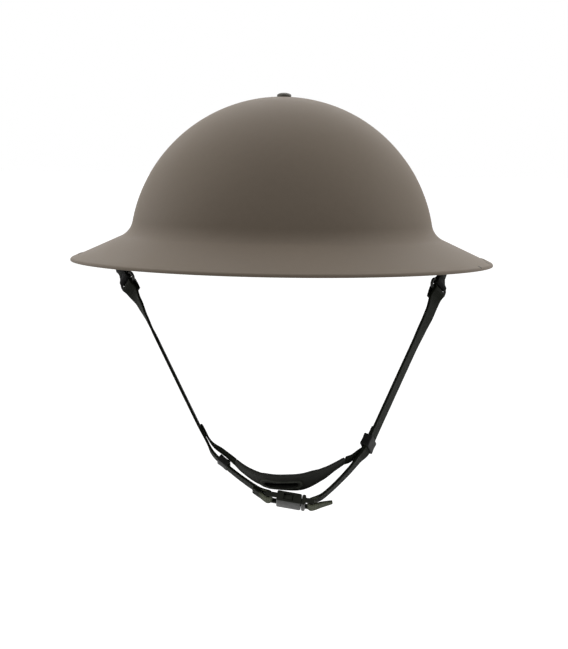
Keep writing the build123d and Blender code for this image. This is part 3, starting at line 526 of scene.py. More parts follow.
def join_forms(name, forms):
    """One mesh from several lists of points and faces."""
    points, faces = [], []
    for some_points, some_faces in forms:
        base = len(points)
        points += some_points
        faces += [tuple(base + i for i in face) for face in some_faces]
    return mesh_piece(name, points, faces)


def rounded_section(width, height, radius, corner_steps=5, side_steps=1):
    """Points round a rectangle with rounded corners, as pairs."""
    half_width, half_height = width / 2 - radius, height / 2 - radius
    corners = ((1, 1, 0), (-1, 1, 90), (-1, -1, 180), (1, -1, 270))

    def corner_point(corner, turned):
        right, up, start = corner
        angle = math.radians(start + turned)
        return right * half_width + radius * math.cos(angle), up * half_height + radius * math.sin(angle)

    points = []
    for index, corner in enumerate(corners):
        points += [corner_point(corner, 90 * step / corner_steps) for step in range(corner_steps + 1)]
        begin, end = points[-1], corner_point(corners[(index + 1) % 4], 0)
        for step in range(1, side_steps):
            share = step / side_steps
            points.append(tuple(b + (e - b) * share for b, e in zip(begin, end)))
    return points


def round_ring(centre, first, second, width, height, count):
    """Points of a round or oval ring in the plane of two directions."""
    angles = [math.tau * i / count for i in range(count)]
    return [centre + first * (width * math.cos(a)) + second * (height * math.sin(a)) for a in angles]


# Pressed steel shell
dome_radius, crown_height, corner_height = 104.5, 95.1, 1.6
crease_radius, shell_thickness = 14.0, 1.2
brim_slope = math.radians(24.7)
brim_side, brim_front, length_share = 144.6, 155.6, 1.0556
rim_gap, rim_sheet, rim_depth = 0.06, 0.4, 5.0
rim_joint_bearing, rim_joint_width = math.radians(-8.0), 0.7
bolt_hole = 2.5
dome_centre = crown_height - dome_radius
corner_reach = math.sqrt(dome_radius**2 - (corner_height - dome_centre) ** 2)
brim_normal = Vector((math.sin(brim_slope), math.cos(brim_slope)))
brim_run = Vector((math.cos(brim_slope), -math.sin(brim_slope)))
crease_base = Vector((corner_reach, corner_height - dome_centre)) + brim_normal * crease_radius
crease_along = crease_base.dot(brim_run)
crease_shift = math.sqrt((dome_radius + crease_radius) ** 2 - crease_base.length_squared + crease_along**2)
crease_middle = Vector((0, dome_centre)) + crease_base + brim_run * (crease_shift - crease_along)
crease_bearing = math.atan2(crease_middle.y - dome_centre, crease_middle.x)


def skin_height(reach, outward):
    """Height of the brim at a reach from the axis, on a face moved outward from the outer one."""
    rise = (outward - (reach - corner_reach) * math.sin(brim_slope)) / math.cos(brim_slope)
    return corner_height + rise


def edge_reach(bearing, side, front):
    """Reach of the brim's oval edge, before the shell is drawn out to the front and back."""
    return 1 / math.hypot(math.cos(bearing) / side, math.sin(bearing) * length_share / front)


def brim_point(bearing, reach, height):
    """A point of the helmet from its bearing, reach and height in millimetres."""
    return Vector((
        reach * math.cos(bearing),
        reach * math.sin(bearing) * length_share,
        height,
    )) * MILLI


def skin_path(outward, reach, arc_steps=84, crease_steps=14, slope_steps=26):
    """Reach and height of points down one face of the shell, from the bolt hole to the edge."""
    radius = dome_radius + outward
    start = math.acos(bolt_hole / radius)
    points = []
    for step in range(arc_steps):
        angle = start + (crease_bearing - start) * step / arc_steps
        points.append((radius * math.cos(angle), dome_centre + radius * math.sin(angle)))
    radius = crease_radius - outward
    sweep = math.pi / 2 - brim_slope - crease_bearing
    for step in range(crease_steps):
        angle = math.pi + crease_bearing + sweep * step / crease_steps
        points.append((
            crease_middle.x + radius * math.cos(angle),
            crease_middle.y + radius * math.sin(angle),
        ))
    slope_start = crease_middle.x - brim_normal.x * radius
    for step in range(slope_steps + 1):
        here = slope_start + (reach - slope_start) * step / slope_steps
        points.append((here, skin_height(here, outward)))
    return points


# Faint waves of the pressing, each with its pitch and height, outward from a centre below the origin
shell_waves, wave_centre_depth = ((22, 0.10), (60, 0.03)), 0.02
shell_columns = 288
shell_grid = []
for column in range(shell_columns):
    bearing = math.tau * column / shell_columns
    reach = edge_reach(bearing, brim_side, brim_front)
    path = skin_path(0, reach) + skin_path(-shell_thickness, reach)[::-1]
    line = []
    for point_reach, height in path:
        point = brim_point(bearing, point_reach, height)
        ripple = sum(noise.noise(point * pitch) * high for pitch, high in shell_waves)
        outward_way = Vector((point.x, point.y, point.z + wave_centre_depth)).normalized()
        line.append(point + outward_way * ripple * MILLI)
    shell_grid.append(line)
shell_rows = np.asarray(shell_grid).transpose(1, 0, 2)
shell_piece = tube_piece("shell_pressing", shell_rows, round_rows=True, sharp=40)
dress(shell_piece, paint, "shell", "shell_paint", "shell")

# Folded strip round the edge, cut through at its joint
outer_face = rim_gap + rim_sheet
under_face, inner_under_face = -shell_thickness - outer_face, -shell_thickness - rim_gap
nose_radius = (shell_thickness + outer_face * 2) / 2
nose_steps, lap_shares, fold_inset = 12, (0.8, 0.6, 0.4, 0.25), 0.3
cut_lean, cut_rounding, cut_reach = 0.02, 0.12, 0.14
strip_section = [
    (-rim_depth, rim_gap),
    (-rim_depth + cut_lean, outer_face - cut_rounding),
    (-rim_depth + cut_reach, outer_face),
]
strip_section += [(-rim_depth * share, outer_face) for share in lap_shares]
for step in range(nose_steps + 1):
    angle = math.pi / 2 - math.pi * step / nose_steps
    strip_section.append((
        outer_face - nose_radius * (1 - math.cos(angle)),
        -shell_thickness / 2 + nose_radius * math.sin(angle),
    ))
strip_section += [(-rim_depth * share, under_face) for share in lap_shares[::-1]]
strip_section += [
    (-rim_depth + cut_reach, under_face),
    (-rim_depth + cut_lean, under_face + cut_rounding),
    (-rim_depth, inner_under_face), (-fold_inset, inner_under_face),
    (rim_gap, -shell_thickness * 0.8), (rim_gap, -shell_thickness * 0.2), (-fold_inset, rim_gap),
]
joint_half = rim_joint_width / 2 / brim_side
joint_lift, joint_lift_steps = 0.10, 4
wander_pitch, wander_width = 9, 0.12
strip_steps = 420
strip_rows = []
for step in range(strip_steps + 1):
    share = step / strip_steps
    bearing = rim_joint_bearing + joint_half + (math.tau - joint_half * 2) * share
    edge = edge_reach(bearing, brim_side, brim_front)
    near_joint = max(0, 1 - min(share, 1 - share) * strip_steps / joint_lift_steps)
    wander = noise.noise(Vector((math.cos(bearing), math.sin(bearing), 0)) * wander_pitch) * wander_width
    ring = []
    for along, outward in strip_section:
        lift = joint_lift * near_joint * (1 if outward > -shell_thickness / 2 else -1)
        inner_share = min(1, -along / rim_depth) if along < 0 else 0
        here = edge + along + wander * inner_share
        ring.append(brim_point(bearing, here, skin_height(here, outward + lift * inner_share)))
    strip_rows.append(ring)
strip_piece = tube_piece("rim_strip_fold", strip_rows, sharp=50)
dress(strip_piece, paint, "shell", "shell_paint", "rim_strip")


def rounded_copy(name, node, bevel, segments=2):
    """A piece with the form of a CAD node whose edges are rounded off."""
    data = nodes[node].data.copy()
    data.materials.clear()
    work = bmesh.new()
    work.from_mesh(data)
    bmesh.ops.remove_doubles(work, verts=work.verts, dist=0.000002)
    bmesh.ops.dissolve_limit(work, angle_limit=math.radians(1.5), verts=work.verts, edges=work.edges)
    bmesh.ops.recalc_face_normals(work, faces=work.faces)
    work.to_mesh(data)
    work.free()
    data.shade_smooth()
    piece = bpy.data.objects.new(name, data)
    scene.collection.objects.link(piece)
    return round_edges(piece, bevel, 32, 50, segments)


# Crown: slotted bolt head outside, with its clamped parts inside
head_radius, head_height, head_rim, head_steps = 4.9, 2.7, 0.9, 8
shank_radius, shank_depth, bolt_spokes = 2.3, 12.0, 48
slot_width, slot_depth, slot_half_length, slot_room = 1.2, 1.1, 6.0, 1
bolt_profile = [(shank_radius, -shank_depth), (shank_radius, 0.05), (head_radius - 0.1, 0.0)]
bolt_profile += [(head_radius, 0.15), (head_radius, head_rim)]
for step in range(1, head_steps + 1):
    angle = math.pi / 2 * step / head_steps
    bolt_profile.append((
        head_radius * math.cos(angle) + 0.02,
        head_rim + (head_height - head_rim) * math.sin(angle),
    ))
bolt_rings = []
for profile_reach, height in bolt_profile:
    bolt_rings.append([
        Vector((
            profile_reach * math.cos(math.tau * i / bolt_spokes),
            profile_reach * math.sin(math.tau * i / bolt_spokes),
            crown_height + height,
        )) * MILLI
        for i in range(bolt_spokes)
    ])
bolt_piece = tube_piece("crown_bolt_head", bolt_rings, sharp=45)
slot_rings = []
for x in (-slot_half_length, slot_half_length):
    slot_rings.append([
        Vector((x, y, crown_height + z)) * MILLI
        for y, z in (
            (-slot_width / 2, head_height - slot_depth),
            (slot_width / 2, head_height - slot_depth),
            (slot_width / 2, head_height + slot_room),
            (-slot_width / 2, head_height + slot_room),
        )
    ])
carve(bolt_piece, [tube_piece("slot_cutter", slot_rings)], 45)
dress(bolt_piece, dark_steel, "shell", "dark_steel", "crown_bolt")
for node, bevel in (("crown_nut", 0.25), ("crown_washer", 0.2)):
    dress(rounded_copy(f"{node}_form", node, bevel), dark_steel, "shell", "dark_steel", node)
gasket_piece = rounded_copy("crown_gasket_form", "crown_gasket", 0.3)
dress(gasket_piece, rubber_finish, "shell", "rubber", "crown_gasket")

# Chin strap: it hangs in a plane through both studs that leans to the front
lug_half_span, strap_drop = 113.0 * MILLI, 178.0 * MILLI
strap_lean = math.radians(23.5)
strap_down = Vector((0, -math.sin(strap_lean), -math.cos(strap_lean)))
strap_out = Vector((0, -math.cos(strap_lean), math.sin(strap_lean)))
stud_line = Vector((0, 0, -10.5 * MILLI))
sides = {"left": 1, "right": -1}


def hung(across, down, out=0.0):
    """A point of the chin strap: across, down from the studs, and out to the front."""
    return stud_line + Vector((across, 0, 0)) + strap_down * down + strap_out * out


def share_points(shares):
    """Points of the strap from shares of the half span, and of the drop down and out."""
    return [hung(a * lug_half_span, d * strap_drop, o * strap_drop) for a, d, o in shares]


def tape_width_way(run, turn):
    """Direction of a tape's width for a run, turned about that run by so many degrees."""
    flat = (strap_out - run * strap_out.dot(run)).normalized()
    return Matrix.Rotation(math.radians(turn), 3, run) @ flat


def smooth_line(controls, step):
    """Even samples on a smooth line through control points; each control is a point and a width direction."""
    points = [np.array(p, float) for p, w in controls]
    ways = [np.array(w, float) for p, w in controls]
    points = [points[0] * 2 - points[1]] + points + [points[-1] * 2 - points[-2]]
    ways = [ways[0]] + ways + [ways[-1]]
    line = []
    for index in range(1, len(points) - 2):
        p0, p1, p2, p3 = points[index - 1 : index + 3]
        t1 = max(np.linalg.norm(p1 - p0), 1e-9) ** 0.5
        t2 = t1 + max(np.linalg.norm(p2 - p1), 1e-9) ** 0.5
        t3 = t2 + max(np.linalg.norm(p3 - p2), 1e-9) ** 0.5
        count = max(2, int(math.ceil(np.linalg.norm(p2 - p1) / step)))
        for sample in range(count):
            share = sample / count
            t = t1 + (t2 - t1) * share
            a1 = p0 * (t1 - t) / t1 + p1 * t / t1
            a2 = p1 * (t2 - t) / (t2 - t1) + p2 * (t - t1) / (t2 - t1)
            a3 = p2 * (t3 - t) / (t3 - t2) + p3 * (t - t2) / (t3 - t2)
            b1 = a1 * (t2 - t) / t2 + a2 * t / t2
            b2 = a2 * (t3 - t) / (t3 - t1) + a3 * (t - t1) / (t3 - t1)
            here = b1 * (t2 - t) / (t2 - t1) + b2 * (t - t1) / (t2 - t1)
            eased = share * share * (3 - 2 * share)
            line.append((Vector(here), Vector(ways[index] * (1 - eased) + ways[index + 1] * eased)))
    line.append((Vector(points[-2]), Vector(ways[-2])))
    return line


def tape_frames(controls, step=0.0007, closed=False):
    """Frames along a tape: centre, run, width direction, face direction and length so far."""
    line = smooth_line(controls, step)
    if closed:
        line = line[:-1]
    frames, total = [], 0.0
    for index, (point, way) in enumerate(line):
        if closed:
            before, after = line[index - 1][0], line[(index + 1) % len(line)][0]
        else:
            before, after = line[max(index - 1, 0)][0], line[min(index + 1, len(line) - 1)][0]
        run = (after - before).normalized()
        side = (way - run * way.dot(run)).normalized()
        if frames:
            total += (point - frames[-1][0]).length
        frames.append((point, run, side, run.cross(side), total))
    return frames


# Raised selvedges of a tape, as shares of its width and thickness, its ribs and how fast the painted floor
# reflection fades as a face turns from facing down
selvedge_start, selvedge_breadth, selvedge_limit, selvedge_rise = 0.80, 0.20, 0.47, 0.16
rib_height, rib_pitch, reflection_facing_contrast = 0.03 * MILLI, 1.3 * MILLI, 2.5


def tape_piece(name, frames, width, thickness, closed=False, widths=None, reflection_shares=None):
    """A woven tape along frames, with selvedges, a faint rib across and painted floor reflection on places
    that face down.
    """
    section = rounded_section(width, thickness, thickness * 0.46, 4, 8)
    rings, along, across, underside_reflection = [], [], [], []
    for index, (centre, run, side, face, length) in enumerate(frames):
        factor = 1.0 if widths is None else widths[index]
        ring = []
        for u, v in section:
            beyond = max(0.0, abs(u) / (width / 2) - selvedge_start)
            selvedge = 1 + selvedge_rise * beyond / selvedge_breadth * (abs(u) < width * selvedge_limit)
            rib = rib_height * math.sin(math.tau * length / rib_pitch)
            high = v * selvedge + math.copysign(rib, v) * (abs(v) > thickness * 0.4)
            ring.append(centre + side * (u * factor) + face * high)
            along.append(length)
            across.append(u)
            # The painted floor reflection goes only on faces turned down
            facing = math.copysign(1, v) * face.dot(strap_down)
            underside_reflection.append(0 if reflection_shares is None else reflection_shares[index] * held(facing * reflection_facing_contrast))
        rings.append(ring)
    piece = tube_piece(name, rings, round_rows=closed)
    extra = len(piece.data.vertices) - len(along)
    for label, values in (("along", along), ("across", across), ("underside_reflection", underside_reflection)):
        layer = piece.data.attributes.new(label, "FLOAT", "POINT")
        layer.data.foreach_set("value", np.array(values + [values[-1]] * extra, np.float32))
    return piece


def bar_turn(bar, arrival, heading, way, radius, sweep=180, steps=7):
    """Controls of a tape that turns round a bar: it arrives on one side and leaves on the other."""
    controls = []
    for step in range(steps + 1):
        angle = math.radians(sweep) * step / steps
        controls.append((bar + (arrival * math.cos(angle) + heading * math.sin(angle)) * radius, way))
    return controls


wire_radius, wire_half_width, wire_corner = 1.0 * MILLI, 9.8 * MILLI, 2.3 * MILLI


def wire_loop(name, start, across, along, length):
    """A closed rectangle of bent wire whose first bar is centred on a point."""
    middle = start + along * (length / 2)
    outline = rounded_section(wire_half_width * 2, length, wire_corner, 8, 12)
    path = [middle + across * u + along * v for u, v in outline]
    square_way = across.cross(along)
    rings = []
    for index, point in enumerate(path):
        run = (path[(index + 1) % len(path)] - path[index - 1]).normalized()
        rings.append(round_ring(point, run.cross(square_way), square_way, wire_radius, wire_radius, 16))
    return tube_piece(name, rings, round_rows=True)


def stitch_form(centre, run, face, length, thread=0.00022):
    """Points and faces of one stitch lying on a face."""
    side = run.cross(face).normalized()
    points, faces = [], []
    for along, size in ((-0.5, 0.15), (-0.42, 0.8), (-0.2, 1.0), (0.2, 1.0), (0.42, 0.8), (0.5, 0.15)):
        sink = face * (-0.6 * thread * (abs(along) > 0.3))
        for i in range(6):
            angle = math.tau * i / 6
            points.append(
                centre + run * (along * length) + sink
                + side * (thread * size * math.cos(angle)) + face * (thread * size * math.sin(angle))
            )
    faces = grid_faces(6, 6, False, True)
    faces += [tuple(range(5, -1, -1)), tuple(range(30, 36))]
    return points, faces


def frame_at(frames, length):
    """The frame of a tape nearest to a length along it."""
    lengths = [f[4] for f in frames]
    return frames[int(np.argmin(np.abs(np.array(lengths) - length)))]


stitch_height = 0.53


def stitch_rows(frames, start, end, shares, width, thickness, pitch):
    """Stitches in rows along a tape from one length to another, at shares of its half width."""
    forms = []
    count = max(1, int(round((end - start) / pitch)))
    for index in range(count):
        centre, run, side, face, _ = frame_at(frames, start + (end - start) * (index + 0.5) / count)
        for share in shares:
            place = centre + side * (share * width / 2) + face * (thickness * stitch_height)
            forms.append(stitch_form(place, run, face, pitch * 0.78))
    return forms


def stitch_bars(frames, lengths, width, thickness, pitch, both=True):
    """Stitches in rows across a tape at the given lengths along it."""
    forms = []
    count = int(width * 0.84 / pitch)
    for length in lengths:
        centre, _, side, face, _ = frame_at(frames, length)
        for index in range(count):
            offset = (index - (count - 1) / 2) * pitch
            for sign in ((1, -1) if both else (1,)):
                place = centre + side * offset + face * (sign * thickness * stitch_height)
                forms.append(stitch_form(place, side, face * sign, pitch * 0.8))
    return forms


webbing_width, webbing_thickness = 14.0 * MILLI, 1.6 * MILLI
tab_thickness = 1.35 * MILLI
fold_gap = 0.08 * MILLI
knuckle_down = 7.1 * MILLI
bail_length, bail_lean = 7.0 * MILLI, math.radians(13.0)
tab_length, ring_length = 9.4 * MILLI, 5.6 * MILLI
ring_turns = {"left": 30.0, "right": -25.0}
bail_foot_across = lug_half_span - bail_length * math.sin(bail_lean)
bail_foot_down = knuckle_down + bail_length * math.cos(bail_lean)
route_shares = {
    "left": [
        (0.898, 0.247, 0), (0.854, 0.309, 0), (0.793, 0.396, 0), (0.575, 0.713, 0), (0.518, 0.796, 0),
        (0.470, 0.832, -0.002), (0.423, 0.870, -0.004), (0.367, 0.909, -0.008), (0.310, 0.945, -0.012),
        (0.252, 0.976, -0.014),
    ],
    "right": [
        (-0.856, 0.223, 0), (-0.804, 0.289, 0), (-0.748, 0.362, 0), (-0.473, 0.713, 0),
        (-0.429, 0.767, -0.001), (-0.381, 0.822, -0.003), (-0.119, 0.951, -0.014),
    ],
}
route_turns = {
    "left": [22, 17, 13, 13, 13, 6, 3, 1, 0, 0],
    "right": [-8, 2, 8, 8, 6, 3, 0],
}
tip_shares = [(0.262, 1.004, -0.014), (0.319, 0.995, -0.014)]
arm_shares = {
    "left": [(0.460, 0.816, 0.014), (0.420, 0.838, 0.028)],
    "right": [(-0.386, 0.790, 0.019), (-0.319, 0.825, 0.038)],
}
arm_turns = {"left": [13, 13, 11, 12, 13], "right": [8, 6.3, 2, -6, -12]}
arm_leave_share = {"left": 0.97, "right": 0.85}
arm_width, arm_thickness, arm_gap = 8.0 * MILLI, 1.4 * MILLI, 0.3 * MILLI

# Buckle: its mouth, its run and its two bars
buckle_tilt = math.radians(9.5)
socket_length, socket_bar_gap, plug_bar_reach = 16.5, 5.8, 7.0
buckle_mouth = share_points([(0.136, 0.998, -0.014)])[0]
buckle_run = (hung(math.cos(buckle_tilt), math.sin(buckle_tilt)) - hung(0, 0)).normalized()
socket_bar = buckle_mouth - buckle_run * (socket_length + socket_bar_gap) * MILLI
plug_bar = buckle_mouth + buckle_run * plug_bar_reach * MILLI
strap_bar = {"left": plug_bar, "right": socket_bar}
bar_radius = 1.25 * MILLI

# Chin cup: a moulded leather band with a long rounded hole, bound round its edge and the hole
cup_thickness, cup_width = 2.4 * MILLI, 17.0 * MILLI
cup_hole_length, cup_hole_width = 23.0 * MILLI, 5.0 * MILLI
cup_shares = [
    (-0.248, 0.866, 0.052), (-0.210, 0.889, 0.059), (-0.124, 0.922, 0.059), (-0.044, 0.937, 0.054),
    (0.053, 0.939, 0.048), (0.142, 0.934, 0.047), (0.257, 0.904, 0.052), (0.327, 0.876, 0.051),
    (0.385, 0.850, 0.043),
]
cup_width_shares = [0.44, 0.50, 0.68, 0.85, 0.97, 1.0, 0.74, 0.50, 0.44]
cup_turns = [-12, -16, -20, -20, -20, -20, -18, -15, -12]
cup_points = share_points(cup_shares)
last_station, cup_end_gap = len(cup_points) - 1, 0.3
cup_controls = []
for index, point in enumerate(cup_points):
    run = (cup_points[min(index + 1, last_station)] - cup_points[max(index - 1, 0)]).normalized()
    cup_controls.append((point, tape_width_way(run, cup_turns[index])))
first_cup_run = (cup_points[1] - cup_points[0]).normalized()
last_cup_run = (cup_points[-1] - cup_points[-2]).normalized()
cup_ends = {
    "left": (cup_points[-1] + last_cup_run * cup_end_gap * MILLI, cup_controls[-1][1]),
    "right": (cup_points[0] - first_cup_run * cup_end_gap * MILLI, cup_controls[0][1]),
}
cup_frames = tape_frames(cup_controls, 0.0006)
station_reach = np.array([p.x for p in cup_points])


def cup_half(x):
    """Half width of the cup at a place across, eased between its stations."""
    index = int(np.clip(np.searchsorted(station_reach, x) - 1, 0, last_station - 1))
    before, after = station_reach[index], station_reach[index + 1]
    share = float(np.clip((x - before) / (after - before), 0, 1))
    shares = [cup_width_shares[max(0, min(last_station, index + i))] for i in (-1, 0, 1, 2)]
    inner = (
        2 * shares[1] + (shares[2] - shares[0]) * share
        + (2 * shares[0] - 5 * shares[1] + 4 * shares[2] - shares[3]) * share**2
        + (3 * shares[1] - shares[0] - 3 * shares[2] + shares[3]) * share**3
    ) / 2
    return inner * cup_width / 2


hole_middle = share_points([(0.018, 0.942, 0.039)])[0]
hole_way = tape_width_way(Vector((1, 0, 0)), -20)
hole_axis = Vector((1, 0, 0)).cross(hole_way)


def slot_reach(point):
    """How far a point lies outside the cup's rounded hole, seen along the hole."""
    apart = point - hole_middle
    along, across = apart.x, apart.dot(hole_way)
    beyond = max(abs(along) - (cup_hole_length - cup_hole_width) / 2, 0)
    return math.hypot(beyond, across) - cup_hole_width / 2


def hole_outline(room, corner_steps, side_steps, corner_ease=0.01 * MILLI):
    """The cup's rounded hole grown by some room on every side, as places along and across."""
    radius = cup_hole_width / 2 + room - corner_ease
    return rounded_section(
        cup_hole_length + room * 2, cup_hole_width + room * 2, radius, corner_steps, side_steps,
    )


def raised(gap, height, middle, spread_width):
    """Height of a soft ridge at a gap from an edge."""
    return height * math.exp(-(((gap - middle * MILLI) / (spread_width * MILLI)) ** 2))


def edge_curve(edge, radius):
    """How thick a layer is, from 0 to 1, at a distance from its rounded edge."""
    return math.sqrt(max(0.0, 1 - (1 - min(1.0, edge / (radius * MILLI))) ** 2))


# Ridges of the moulding, each with its height, its distance from the edge and its spread
cup_bead, hole_ridge, hole_dish = (0.16, 0.9, 0.55), (0.30, 1.1, 0.75), (-0.12, 2.9, 0.8)
cup_rings = []
cup_columns = 26
for centre, _, way, face, length in cup_frames:
    half = cup_half(centre.x)
    end_gap = min(length, cup_frames[-1][4] - length)
    rounding = 1 - 0.12 * max(0, 1 - end_gap / (2.0 * MILLI)) ** 2
    ring = []
    for sign in (1, -1):
        for column in range(cup_columns + 1):
            share = -math.cos(math.pi * column / cup_columns) * sign
            place = centre + way * (share * half * rounding)
            edge = (1 - abs(share)) * half
            thick = edge_curve(edge, 1.1)
            bead = raised(edge, *cup_bead)
            hole_gap = slot_reach(place)
            ridge = raised(hole_gap, *hole_ridge)
            dish = raised(hole_gap, *hole_dish)
            lift = (0.84 + bead + ridge + dish) * thick * cup_thickness / 2
            ring.append(place + face * (sign * lift))
        ring.pop()
    cup_rings.append(ring)
cup_piece = tube_piece("chin_cup_leather", cup_rings)
hole_rings = [
    [hole_middle + Vector((u, 0, 0)) + hole_way * v + hole_axis * deep for u, v in hole_outline(0, 10, 12)]
    for deep in (-0.01, 0.01)
]
carve(cup_piece, [tube_piece("hole_cutter", hole_rings)], 60)
round_edges(cup_piece, 0.35, 55, 60)
dress(cup_piece, cup_leather, "chin_strap", "cup_leather", "chin_cup")

# Lining on the cup's inner face, quilted by its seams; its near-black colour behind the hole is painted shade
lining_thickness, lining_gap, lining_width_share, lining_drop = 1.2 * MILLI, 0.5 * MILLI, 0.88, 1.2 * MILLI
lining_sink = cup_thickness / 2 + lining_gap + lining_thickness / 2
lining_start, lining_end = cup_points[2].x, cup_points[6].x
lining_columns, quilt_depth, quilt_width = 16, 0.14, 1.6 * MILLI
lining_rings = []
for centre, _, way, face, _ in cup_frames:
    if not lining_start <= centre.x <= lining_end:
        continue
    end_gap = min(centre.x - lining_start, lining_end - centre.x)
    taper = 0.72 + 0.28 * math.sin(min(1.0, end_gap / (6 * MILLI)) * math.pi / 2)
    half = cup_half(centre.x) * lining_width_share * taper
    pinch = min(1.0, 0.35 + end_gap / (1.5 * MILLI))
    ring = []
    for sign in (1, -1):
        for column in range(lining_columns):
            share = -math.cos(math.pi * column / lining_columns) * sign
            edge = (1 - abs(share)) * half
            thick = edge_curve(edge, 0.6)
            quilt = 1 - quilt_depth + quilt_depth * math.cos(share * half / quilt_width * math.pi) ** 2
            lift = sign * thick * pinch * quilt * lining_thickness / 2
            ring.append(centre + way * (share * half - lining_drop) + face * (lift - lining_sink))
    lining_rings.append(ring)
lining_piece = tube_piece("cup_lining_painted_shade", lining_rings)
dress(lining_piece, lining_painted_shade, "chin_strap", "cup_lining", "cup_lining")

# Raised welt round the hole, on the cup's outer face, in a paler copy of the cup leather whose lightness is
# painted light
cup_centres = np.array([f[0].x for f in cup_frames])
welt_room, welt_radius = 1.3 * MILLI, 0.75 * MILLI


def on_cup(along, across):
    """The cup's directions beside a place of the hole's outline, and that place in its middle layer."""
    centre, run, way, face, _ = cup_frames[int(np.argmin(np.abs(cup_centres - (hole_middle.x + along))))]
    return run, way, face, centre + way * (across + (hole_middle - centre).dot(way))


welt_path = []
for u, v in hole_outline(welt_room, 12, 14):
    _, _, face, place = on_cup(u, v)
    welt_path.append((place + face * (cup_thickness * 0.42), face))
welt_rings = []
for index, (place, face) in enumerate(welt_path):
    run = (welt_path[(index + 1) % len(welt_path)][0] - welt_path[index - 1][0]).normalized()
    welt_rings.append(round_ring(place, run.cross(face), face, welt_radius, welt_radius * 0.8, 12))
welt_piece = tube_piece("cup_hole_welt", welt_rings, round_rows=True)
dress(welt_piece, welt_leather_lit_copy, "chin_strap", "cup_leather")

# Stitches: round the hole and along both edges of the cup
stitching = []
cup_total = cup_frames[-1][4]
seam_room, seam_inset, seam_count = 2.3 * MILLI, 2.1 * MILLI, 46
seam_lift, seam_hole_gap = cup_thickness * 0.45, 2.9 * MILLI
hole_stitch, edge_stitch = 1.0 * MILLI, 1.25 * MILLI
for u, v in hole_outline(seam_room, 12, 14, 0.05 * MILLI):
    run, way, face, place = on_cup(u, v)
    beside = Vector((u, v)).normalized()
    stitch_run = (run * -beside.y + way * beside.x).normalized() if abs(u) > cup_hole_length * 0.4 else run
    for sign in (1, -1):
        lifted = place + face * (sign * seam_lift)
        stitching.append(stitch_form(lifted, stitch_run, face * sign, hole_stitch))
for index in range(seam_count):
    centre, run, way, face, _ = frame_at(cup_frames, cup_total * (index + 0.5) / seam_count)
    for share in (1, -1):
        for sign in (1, -1):
            beside = way * (share * (cup_half(centre.x) - seam_inset))
            place = centre + beside + face * (sign * seam_lift)
            if slot_reach(place) > seam_hole_gap:
                stitching.append(stitch_form(place, run, face * sign, edge_stitch))

# Fittings, webbing and sleeves of each side
slide_profile = (
    (0.0, -3.55), (0.12, -3.85), (0.4, -4.0), (0.85, -4.0), (1.12, -3.85), (1.2, -3.55),
    (1.17, -2.4), (1.05, -1.2), (1.02, 0), (1.05, 1.2), (1.17, 2.4),
    (1.2, 3.55), (1.12, 3.85), (0.85, 4.0), (0.4, 4.0), (0.12, 3.85), (0.0, 3.55),
)
tab_layer_shares, tab_seam_shares = (0.36, 0.5, 0.64), (0.42, 0.58)
tab_seam_count, tab_seam_pitch, tab_stitch = 9, 1.35, 1.05 * MILLI
tail_steps = ((7.0, 0.94), (6.3, 0.97), (5.5, 1.0), (4.6, 1.05))
fold_start, fold_drift = 4.6, 0.35
bar_tail_steps, bar_tail_gap = (4.5, 8.0, 11.0), 1.9
tip_length, tip_end_share, tip_power = 12.0 * MILLI, 0.28, 0.7
